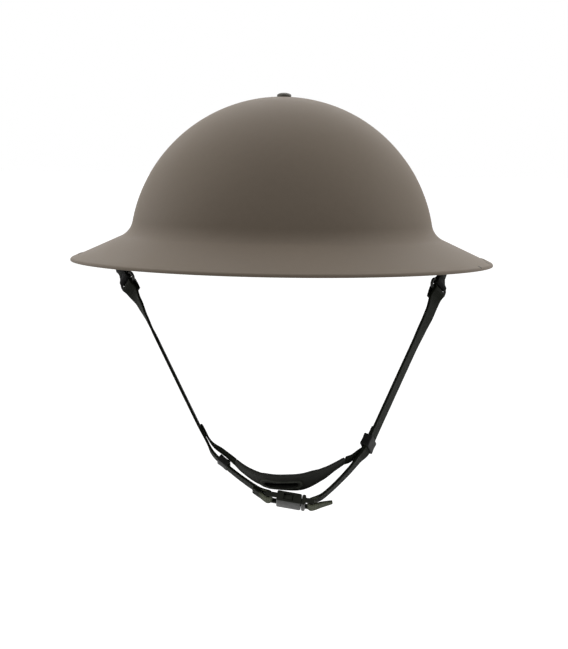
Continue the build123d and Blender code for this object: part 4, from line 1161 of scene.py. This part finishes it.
# Where the straps get their painted floor reflection: near the buckle bar, and towards the left strap's tip
reflection_start, reflection_length, tip_reflection_length, tip_reflection = 1.0 * MILLI, 3.5 * MILLI, 22.0 * MILLI, 0.8
arm_seam_pitch, arm_bar_pitch, arm_sewn_share = 1.7 * MILLI, 1.3 * MILLI, 0.85
sleeve_room, sleeve_corner = 0.6 * MILLI, 0.25 * MILLI
for side, sign in sides.items():
    knuckle = hung(sign * lug_half_span, knuckle_down)
    bail_foot = hung(sign * bail_foot_across, bail_foot_down)
    bail_run = (bail_foot - knuckle).normalized()
    bail = wire_loop(f"{side}_bail_wire", knuckle, strap_out, bail_run, bail_length)
    dress(bail, wire_coat, f"{side}_bail", "wire_steel", f"{side}_bail")

    route = share_points(route_shares[side])
    pull = (route[0] - bail_foot).normalized()
    ring_top = bail_foot + pull * tab_length
    ring_foot = ring_top + pull * ring_length
    ring_way = tape_width_way(pull, ring_turns[side])
    ring = wire_loop(f"{side}_ring_wire", ring_top, ring_way, pull, ring_length)
    dress(ring, wire_coat, "chin_strap", "wire_steel", f"{side}_ring")

    # Tab: a closed band of webbing round the bail and the ring, pressed flat and sewn between them
    upper_way = tape_width_way(pull, 0)
    upper_face, ring_face = pull.cross(upper_way), pull.cross(ring_way)
    upper_radius = wire_radius + (0.1 if side == "left" else 0.45) * MILLI + tab_thickness / 2
    lower_radius = wire_radius + fold_gap + tab_thickness / 2
    controls = bar_turn(bail_foot, upper_face, -pull, upper_way, upper_radius)
    layer = tab_thickness / 2 + 0.03 * MILLI
    for share in tab_layer_shares:
        way = tape_width_way(pull, ring_turns[side] * share)
        controls.append((bail_foot + pull * (tab_length * share) - pull.cross(way) * layer, way))
    controls += bar_turn(ring_top, -ring_face, pull, ring_way, lower_radius)
    for share in tab_layer_shares[::-1]:
        way = tape_width_way(pull, ring_turns[side] * share)
        controls.append((bail_foot + pull * (tab_length * share) + pull.cross(way) * layer, way))
    controls.append(controls[0])
    frames = tape_frames(controls, 0.0005, closed=True)
    tab = tape_piece(f"{side}_tab_band", frames, webbing_width, tab_thickness, closed=True)
    dress(tab, tab_webbing, "chin_strap", "webbing", f"{side}_tab")
    for layer_sign in (1, -1):
        for share in tab_seam_shares:
            way = tape_width_way(pull, ring_turns[side] * share)
            face = pull.cross(way) * layer_sign
            middle = bail_foot + pull * (tab_length * share) + face * (tab_thickness * 1.04)
            for index in range(tab_seam_count):
                place = middle + way * ((index - tab_seam_count // 2) * tab_seam_pitch * MILLI)
                stitching.append(stitch_form(place, way, face, tab_stitch))

    # Strap: a sewn fold round the ring, the long run, and a fold round its bar of the buckle
    inward = ring_face if ring_face.x * sign < 0 else -ring_face
    fold_radius = wire_radius + fold_gap + webbing_thickness / 2
    layer = webbing_thickness + fold_gap
    controls = [
        (ring_foot + pull * along * MILLI + inward * (layer * drift), ring_way)
        for along, drift in tail_steps
    ]
    controls += bar_turn(ring_foot, inward, -pull, ring_way, fold_radius)
    controls += [(ring_foot + pull * fold_start * MILLI - inward * fold_drift * MILLI, ring_way)]
    bar = strap_bar[side]
    stops = route + [bar]
    for index, point in enumerate(route):
        before = ring_foot if index == 0 else route[index - 1]
        run = (stops[index + 1] - before).normalized()
        controls.append((point, tape_width_way(run, route_turns[side][index])))
    last_run = (bar - route[-1]).normalized()
    bar_fold_radius = bar_radius + fold_gap + webbing_thickness / 2
    if side == "left":
        arrival = last_run.cross(strap_out) * -1
        if arrival.dot(strap_down) > 0:
            arrival = -arrival
        controls += bar_turn(bar, arrival, last_run, strap_out, bar_fold_radius, 140, 6)
        controls += [(point, strap_out) for point in share_points(tip_shares)]
    else:
        arrival = last_run.cross(strap_out)
        if arrival.dot(strap_down) > 0:
            arrival = -arrival
        controls += bar_turn(bar, arrival, last_run, strap_out, bar_fold_radius)
        for along in bar_tail_steps:
            controls.append((bar - last_run * along * MILLI - arrival * bar_tail_gap * MILLI, strap_out))
    frames = tape_frames(controls)
    total = frames[-1][4]
    widths, reflection_shares = [], []
    for item in frames:
        to_tip = total - item[4]
        off_bar = (item[0] - bar).length - bar_fold_radius
        # Painted floor reflection near the bar fold, and on the left strap towards its tip
        reflection_share = held(1 - (off_bar - reflection_start) / reflection_length)
        if side == "left":
            reflection_share = max(reflection_share, held(1.2 - to_tip / tip_reflection_length, tip_reflection))
        narrowing = min(1.0, to_tip / tip_length) ** tip_power if side == "left" else 1.0
        widths.append(tip_end_share + (1 - tip_end_share) * narrowing)
        reflection_shares.append(reflection_share)
    strap = tape_piece(
        f"{side}_strap_tape", frames, webbing_width, webbing_thickness, widths=widths, reflection_shares=reflection_shares,
    )
    dress(strap, webbing, "chin_strap", "webbing", f"{side}_strap")
    tail_seams = (17.8 * MILLI, 19.9 * MILLI)
    stitching += stitch_bars(frames, tail_seams, webbing_width, webbing_thickness, 1.5 * MILLI, False)

    # Arm of the cup: narrower webbing on the strap's inner face, which leaves it for the cup
    arm_base, arm_next = route[3], route[4]
    arm_run = (arm_next - arm_base).normalized()
    arm_way = tape_width_way(arm_run, route_turns[side][3])
    offset = arm_run.cross(arm_way) * (sign * (webbing_thickness / 2 + arm_gap + arm_thickness / 2))
    leave = arm_base + (arm_next - arm_base) * arm_leave_share[side]
    arm_points = [arm_base + offset, leave + offset] + share_points(arm_shares[side])
    end_point, end_way = cup_ends[side]
    controls = []
    for index, point in enumerate(arm_points):
        before = arm_points[max(index - 1, 0)]
        after = (arm_points + [end_point])[index + 1]
        controls.append((point, tape_width_way((after - before).normalized(), arm_turns[side][index])))
    controls.append((end_point, end_way))
    middle_point = (controls[0][0] * 0.5 + controls[1][0] * 0.5, controls[0][1] * 0.5 + controls[1][1] * 0.5)
    controls.insert(1, middle_point)
    arm_frames = tape_frames(controls)
    arm = tape_piece(f"{side}_arm_tape", arm_frames, arm_width, arm_thickness)
    dress(arm, webbing, "chin_strap", "webbing", f"{side}_cup_arm")
    arm_total = arm_frames[-1][4]
    sewn_length = arm_sewn_share * (leave - arm_base).length
    tape_size = (arm_width, arm_thickness)
    first_seam, bar_seam = 1.2 * MILLI, 7.5 * MILLI
    stitching += stitch_rows(arm_frames, first_seam, sewn_length, (-0.78, 0.78), *tape_size, arm_seam_pitch)
    stitching += stitch_bars(arm_frames, (first_seam, bar_seam), *tape_size, arm_bar_pitch, False)
    cup_seams = (arm_total - 2.0 * MILLI, arm_total - 4.2 * MILLI)
    stitching += stitch_bars(arm_frames, cup_seams, *tape_size, arm_bar_pitch)

    # Sleeve round the layers of webbing
    slide_from, slide_to, along_share, slide_turn = {
        "left": (route[3], route[4], 0.70, 13),
        "right": (route[5], route[6], 0.22, 3),
    }[side]
    slide_run = (slide_to - slide_from).normalized()
    slide_way = tape_width_way(slide_run, slide_turn)
    slide_face = slide_run.cross(slide_way)
    layers = webbing_thickness + (arm_gap + arm_thickness if side == "left" else 0)
    middle = slide_from + (slide_to - slide_from) * along_share
    middle += slide_face * (sign * (layers - webbing_thickness) / 2)
    room_width, room_height = webbing_width + sleeve_room, layers + sleeve_room
    slide_rings = []
    for outward, along in slide_profile:
        grown = outward * MILLI
        width, height = room_width + grown * 2, room_height + grown * 2
        ring_section = rounded_section(width, height, sleeve_corner + grown * 0.8, 5, 3)
        slide_rings.append([
            middle + slide_way * u + slide_face * v + slide_run * (along * MILLI) for u, v in ring_section
        ])
    slide = tube_piece(f"{side}_sleeve", slide_rings, round_rows=True, sharp=60)
    dress(slide, sleeve_plastic, f"{side}_slide", "slide_plastic", f"{side}_slide")

    # Steel fittings under the brim
    for node, bevel, finish, body, slot in (
        ("lug", 0.3, paint, "shell", "shell_paint"),
        ("stud", 0.3, dark_steel, "shell", "dark_steel"),
        ("swivel", 0.25, dark_steel, f"{side}_swivel", "dark_steel"),
    ):
        fitting = rounded_copy(f"{side}_{node}_form", f"{side}_{node}", bevel)
        dress(fitting, finish, body, slot, f"{side}_{node}")
stitch_piece = join_forms("sewn_threads", stitching)
dress(stitch_piece, thread_finish, "chin_strap", "webbing")

# Buckle: socket, plug and the two prongs that are squeezed
for node, body, bevel in (
    ("buckle_socket", "chin_strap", 0.45),
    ("buckle_plug", "chin_strap", 0.4),
    ("buckle_prong_front", "buckle_prong_front", 0.3),
    ("buckle_prong_back", "buckle_prong_back", 0.3),
):
    dress(rounded_copy(f"{node}_form", node, bevel, 3), black_plastic, body, "buckle_plastic", node)


# Liner inside the shell
headband_side, headband_front = 84.0, 96.5
headband_share = headband_front / headband_side
headband_height, headband_thickness = 24.0, 1.6


def oval_point(bearing, reach, height):
    """A point of the liner, which is as much longer than wide as the headband is."""
    return Vector((reach * math.cos(bearing), reach * math.sin(bearing) * headband_share, height)) * MILLI


def oval_band(name, profile, columns=288, change=None, sharp=None):
    """A closed form from a profile of reach and height, carried round the oval of the liner."""
    rows = []
    for column in range(columns):
        bearing = math.tau * column / columns
        rows.append([
            oval_point(bearing, *((reach, height) if change is None else change(bearing, reach, height)))
            for reach, height in profile
        ])
    return tube_piece(name, rows, round_rows=True, sharp=sharp)


def thick_line(line, thickness):
    """Closed outline of a line of points thickened to both sides, with rounded ends."""
    tip_steps = 4
    points = [Vector(p) for p in line]
    outer, inner = [], []
    for index, point in enumerate(points):
        run = (points[min(index + 1, len(points) - 1)] - points[max(index - 1, 0)]).normalized()
        side = Vector((run.y, -run.x))
        outer.append(point + side * thickness / 2)
        inner.append(point - side * thickness / 2)
    last_run = (points[-1] - points[-2]).normalized()
    first_run = (points[0] - points[1]).normalized()
    tips = []
    for middle, run in ((points[-1], last_run), (points[0], first_run)):
        side = Vector((run.y, -run.x))
        tips.append([
            middle + side * (math.cos(math.pi * s / tip_steps) * thickness / 2)
            + run * (math.sin(math.pi * s / tip_steps) * thickness / 2)
            for s in range(1, tip_steps)
        ])
    outline = outer + tips[0] + inner[::-1] + tips[1]
    return [(p.x, p.y) for p in outline]


def round_run(bearing, reach, height):
    """Direction round the liner at a bearing."""
    ahead, behind = oval_point(bearing + 0.01, reach, height), oval_point(bearing - 0.01, reach, height)
    return (ahead - behind).normalized()


def wave(bearing, height, count, high):
    """Small soft unevenness round the liner."""
    return high * noise.noise(Vector((math.cos(bearing) * count, math.sin(bearing) * count, height * 0.05)))


band_middle = headband_side + headband_thickness / 2
band_line = [(band_middle, headband_height * s / 12) for s in range(13)]
band_profile = thick_line(band_line, headband_thickness)
band_profile = [(reach, min(max(height, 0.0), headband_height)) for reach, height in band_profile]
headband_piece = oval_band("headband_form", band_profile, sharp=60)
dress(headband_piece, board_finish, "shell", "headband_board", "headband")

for node in ("cross_band_fore_aft", "cross_band_lateral"):
    dress(rounded_copy(f"{node}_form", node, 0.15), spring_steel, "shell", "spring_steel", node)


def lathe(name, profile, origin, axis):
    """A form turned about an axis from reaches and heights along it."""
    across = axis.orthogonal().normalized()
    beside = axis.cross(across)
    spokes = [across * math.cos(math.tau * i / 40) + beside * math.sin(math.tau * i / 40) for i in range(40)]
    rings = [
        [origin + axis * (height * MILLI) + spoke * (reach * MILLI) for spoke in spokes]
        for reach, height in profile
    ]
    return tube_piece(name, rings, sharp=45)


rivet_shank, rivet_radius, rivet_rim, rivet_dome = 1.55, 2.6, 0.35, 0.93
rivet_profile = [(rivet_shank, -2.0), (rivet_shank, -0.05), (2.5, 0.0)]
rivet_profile += [(rivet_radius, 0.12), (rivet_radius, rivet_rim)]
for angle in range(12, 85, 12):
    turned = math.radians(angle)
    rivet_profile.append((rivet_radius * math.cos(turned), rivet_rim + rivet_dome * math.sin(turned)))
rivet_edge, leg_gap, leg_thickness = 4.4, 0.05, 0.8
side_leg = headband_side + headband_thickness + leg_gap + leg_thickness
front_leg = headband_front + headband_thickness * headband_share + leg_gap + leg_thickness
rivets = []
for axis, leg in (
    (Vector((1, 0, 0)), side_leg), (Vector((-1, 0, 0)), side_leg),
    (Vector((0, 1, 0)), front_leg), (Vector((0, -1, 0)), front_leg),
):
    for height in (rivet_edge, headband_height - rivet_edge):
        rivets.append(lathe("rivet", rivet_profile, (axis * leg + Vector((0, 0, height))) * MILLI, axis))
rivet_piece = carve(rivets[0], rivets[1:], 45, "UNION")
rivet_piece.name = "band_rivet_heads"
dress(rivet_piece, rivet_metal, "shell", "rivet_metal", "band_rivets")
buffer_piece = rounded_copy("rubber_buffer_forms", "rubber_buffers", 0.5, 3)
dress(buffer_piece, rubber_finish, "shell", "rubber", "rubber_buffers")

# Sweatband: folded under the headband's lower edge and sewn through it
sweat_thickness, sweat_top_inset, sweat_lean, sweat_reach = 1.25, 0.8, 0.06, 82.0
pull_start, pull_length, pull_depth = 1, 10, 0.35
sweat_line = [(sweat_reach - sweat_lean * s, headband_height - sweat_top_inset - s) for s in range(0, 22)]
sweat_line += [(81.2, 1.2), (81.15, 0.3), (81.5, -0.5), (82.3, -0.98), (83.4, -1.03), (84.6, -1.03)]
sweat_line += [(85.6, -0.95), (86.15, -0.6), (86.42, -0.1), (86.45, 0.4), (86.45, 0.75)]
sweat_line = [
    (min(reach, 81.95), height) if height > 0 and reach < 83 else (reach, height)
    for reach, height in sweat_line
]
sweat_profile = thick_line(sweat_line, sweat_thickness)


def sweat_change(bearing, reach, height):
    """The leather pulls in a little between its stitches."""
    if reach < 82.7 and height > pull_start:
        share = min(1.0, (height - pull_start) / pull_length)
        reach -= share * (pull_depth + wave(bearing, height, 9, 0.5))
    return reach, height


sweatband_piece = oval_band("sweatband_leather", sweat_profile, 360, sweat_change)
dress(sweatband_piece, sweat_leather, "shell", "sweatband_leather", "sweatband")
liner_stitches = []
band_seam_count, band_seam_reach, band_seam_height = 230, 80.3, 3.6
for index in range(band_seam_count):
    seam_place = (math.tau * index / band_seam_count, band_seam_reach, band_seam_height)
    run = round_run(*seam_place)
    inward = run.cross(Vector((0, 0, 1))) * -1
    liner_stitches.append(stitch_form(oval_point(*seam_place), run, inward, 1.75 * MILLI, 0.00026))

# Cap of coated cloth: a skirt inside the headband and eight tongues up to the crown
cap_outer, cap_rise, cap_top, cap_bottom = 83.9, 42.0, 25.0, 6.0
cap_inset, cap_thickness = 0.6, 1.05
dome_steps, quarter_steps = 56, 64
cap_line = [(cap_outer - cap_inset, cap_bottom + cap_inset + s) for s in range(0, 19)]
for step in range(1, dome_steps + 1):
    angle = math.radians(90 * step / quarter_steps)
    cap_line.append((
        (cap_outer - cap_inset) * math.cos(angle),
        cap_top + (cap_rise - cap_inset) * math.sin(angle),
    ))
cap_profile = thick_line(cap_line, cap_thickness)
tongue_count, tongue_sag, skirt_ripple, sag_share = 8, 0.9, 0.35, 0.6


def cap_change(bearing, reach, height):
    """Tongues sag a little between their seams, and the skirt ripples."""
    rise = max(0.0, (height - cap_top) / cap_rise)
    tongue = 0.5 - 0.5 * math.cos(bearing * tongue_count)
    puff = math.sin(math.pi * min(1.0, rise * 1.05))
    loose = math.sin(math.pi * min(1.0, max(0.0, height - cap_bottom) / 55))
    ripple = wave(bearing, height * 3, 14, skirt_ripple) * loose
    inward = puff * (tongue_sag * tongue) + max(0.0, ripple)
    return reach - inward * sag_share, height - inward * sag_share * rise


cap_piece = oval_band("liner_cap_cloth", cap_profile, 384, cap_change)
slot_inner_share, slot_outer_share, tongue_gap, gap_corner = 0.36, 0.80, 6.0, 2.99
cut_low, cut_high = 27.0, 80.0
slot_middle = (slot_inner_share + slot_outer_share) / 2 * cap_outer
slot_half = (slot_outer_share - slot_inner_share) / 2 * cap_outer
cutters = []
for index in range(tongue_count):
    bearing = math.radians(180 / tongue_count) + math.tau * index / tongue_count
    outline = []
    for u, v in rounded_section(slot_half * 2, tongue_gap, gap_corner, 8, 3):
        reach = Vector((slot_middle + u, v))
        outline.append((
            reach.x * math.cos(bearing) - reach.y * math.sin(bearing),
            (reach.x * math.sin(bearing) + reach.y * math.cos(bearing)) * headband_share,
        ))
    cutters.append(tube_piece("tongue_cutter", [
        [Vector((x, y, height)) * MILLI for x, y in outline] for height in (cut_low, cut_high)
    ]))
carve(cap_piece, cutters, 55)
round_edges(cap_piece, 0.25, 50, 55)
dress(cap_piece, cap_cloth, "shell", "liner_leather", "liner_cap")

# Round patch over the tongues' ends, sewn down near its edge
patch_radius, patch_half, patch_steps, patch_spokes = 23.3, 0.55, 24, 144
patch_seam, patch_seam_count, patch_seam_lift, patch_stitch = 21.6, 84, 0.6, 1.25 * MILLI


def patch_height(reach):
    """Height of the patch's middle layer, over the tongues."""
    return cap_top + 0.8 + (cap_rise + 0.1) * math.sqrt(1 - (reach / 84.0) ** 2)


patch_line = []
for step in range(patch_steps):
    reach = patch_radius * (1 - step / patch_steps)
    patch_line.append((reach, patch_height(reach)))
patch_edge = patch_line[0][1]
patch_profile = [(reach, height + patch_half) for reach, height in patch_line[::-1]]
patch_profile += [(23.62, patch_edge + 0.28), (23.72, patch_edge), (23.62, patch_edge - 0.28)]
patch_profile += [(reach, height - patch_half) for reach, height in patch_line]
patch_rings = [
    [oval_point(math.tau * i / patch_spokes, reach, height) for i in range(patch_spokes)]
    for reach, height in patch_profile
]
patch_piece = tube_piece("crown_patch_cloth", patch_rings)
dress(patch_piece, cap_cloth, "shell", "liner_leather", "crown_patch")
for index in range(patch_seam_count):
    bearing = math.tau * index / patch_seam_count
    height = patch_height(patch_seam)
    run = round_run(bearing, patch_seam, height)
    for sign in (1, -1):
        here = oval_point(bearing, patch_seam, height + sign * patch_seam_lift)
        liner_stitches.append(stitch_form(here, run, Vector((0, 0, sign)), patch_stitch))
liner_thread = join_forms("liner_threads", liner_stitches)
dress(liner_thread, thread_finish, "shell", "liner_leather")

# Felt crown pad, clamped in the middle and fuller towards its rim
pad_radius, pad_thickness, pad_hole, pad_rim = 38.0, 7.0, 4.2, 1.6
pad_steps, rim_steps, pad_columns = 28, 8, 120
press_height, press_reach, press_width = 0.35, 9.5, 2.2
slack_height, slack_share = 0.25, 0.4
hoop_flat = 9.0
pad_high = max(v.co.z for v in nodes["crown_pad"].data.vertices) / MILLI
pad_arc = math.hypot(pad_high - dome_centre, hoop_flat)
upper_line, lower_line = [], []
for step in range(pad_steps + 1):
    reach = pad_hole + (pad_radius - pad_rim - pad_hole) * step / pad_steps
    upper = pad_high if reach <= hoop_flat else dome_centre + math.sqrt(pad_arc**2 - reach**2)
    press = press_height * math.exp(-(((reach - press_reach) / press_width) ** 2))
    slack = slack_height * math.sin(math.pi * (reach - pad_hole) / (pad_radius - pad_hole))
    upper_line.append((reach, upper - 0.12))
    lower_line.append((reach, upper - pad_thickness + 0.15 + slack * slack_share + press))
edge_high, edge_low = upper_line[-1][1], lower_line[-1][1]
edge_middle, edge_half = (edge_high + edge_low) / 2, (edge_high - edge_low) / 2
rim_angles = [math.pi * s / rim_steps for s in range(1, rim_steps)]
rim_line = [
    (pad_radius - pad_rim + 1.5 * math.sin(a), edge_middle + edge_half * math.cos(a)) for a in rim_angles
]
pad_outline = upper_line + rim_line + lower_line[::-1]
pad_rings = []
for column in range(pad_columns):
    bearing = math.tau * column / pad_columns
    ring = []
    for reach, height in pad_outline:
        place = Vector((reach * math.cos(bearing), reach * math.sin(bearing), height))
        fluff = noise.noise(place * 0.21) * 0.10
        ring.append(Vector((place.x, place.y, height + fluff - 0.05)) * MILLI)
    pad_rings.append(ring)
pad_piece = tube_piece("crown_pad_felt", pad_rings, round_rows=True)
dress(pad_piece, felt_finish, "shell", "felt", "crown_pad")

# Studio: a pale floor that gives back little light, and can't be seen from below
floor_height, floor_half, floor_lift_near, floor_lift_far = -0.46, 40, 0.20, 0.45
floor_points = [
    Vector((x * floor_half, y * floor_half, floor_height)) for x, y in ((-1, -1), (1, -1), (1, 1), (-1, 1))
]
floor = mesh_piece("studio_floor", floor_points, [(0, 1, 2, 3)])
if floor.data.polygons[0].normal.z < 0:
    floor.data.flip_normals()
floor_finish, tree, shader = start_material(
    "pale_floor", Roughness=0.9, Specular_IOR_Level=0.1, Emission_Color=(1, 1, 1, 1),
)
paper = use_group(tree, drift_group, {
    "Colour": (0.93, 0.93, 0.93, 1), "Second": (0.91, 0.91, 0.91, 1), "Pitch": 0.6, "Amount": 0.3,
})
seen = looked_at(tree)
tree.links.new(mixed(tree, seen, (0.40, 0.40, 0.40, 1), paper.outputs["Colour"]), shader.inputs["Base Color"])
around = put(tree, "ShaderNodeNewGeometry").outputs
away = put(tree, "ShaderNodeVectorMath", {"operation": "LENGTH"}, {0: around["Position"]}).outputs["Value"]
lift = times(tree, spread(tree, away, 0.6, 1.6, floor_lift_near, floor_lift_far), seen)
tree.links.new(lift, shader.inputs["Emission Strength"])
through = put(tree, "ShaderNodeBsdfTransparent").outputs[0]
sided = put(tree, "ShaderNodeMixShader", inputs={0: around["Backfacing"], 1: shader.outputs[0], 2: through})
tree.links.new(sided.outputs[0], tree.nodes["Material Output"].inputs["Surface"])
floor.data.materials.append(floor_finish)

world = bpy.data.worlds.new("studio_air")
scene.world = world
world.use_nodes = True
tree = world.node_tree
sky = tree.nodes["Background"]
sky.inputs["Color"].default_value = (1, 1, 1, 1)
tree.links.new(spread(tree, looked_at(tree), 0.0, 1.0, ambient_light, 1.0), sky.inputs["Strength"])


def soft_light(name, place, target, width, height, power):
    """A rectangular soft light aimed at a point."""
    data = bpy.data.lights.new(name, "AREA")
    data.shape = "RECTANGLE"
    data.size, data.size_y = width, height
    data.energy = power
    lamp = bpy.data.objects.new(name, data)
    lamp.location = place
    lamp.rotation_euler = (Vector(target) - Vector(place)).to_track_quat("-Z", "Y").to_euler()
    scene.collection.objects.link(lamp)


for light in side_softboxes:
    soft_light(*light)
overhead = bpy.data.lights.new("overhead_diffuser", "SUN")
overhead.energy = overhead_light
overhead.angle = math.radians(overhead_spread)
overhead_lamp = bpy.data.objects.new("overhead_diffuser", overhead)
overhead_lamp.rotation_euler.x = -math.radians(overhead_lean)
scene.collection.objects.link(overhead_lamp)
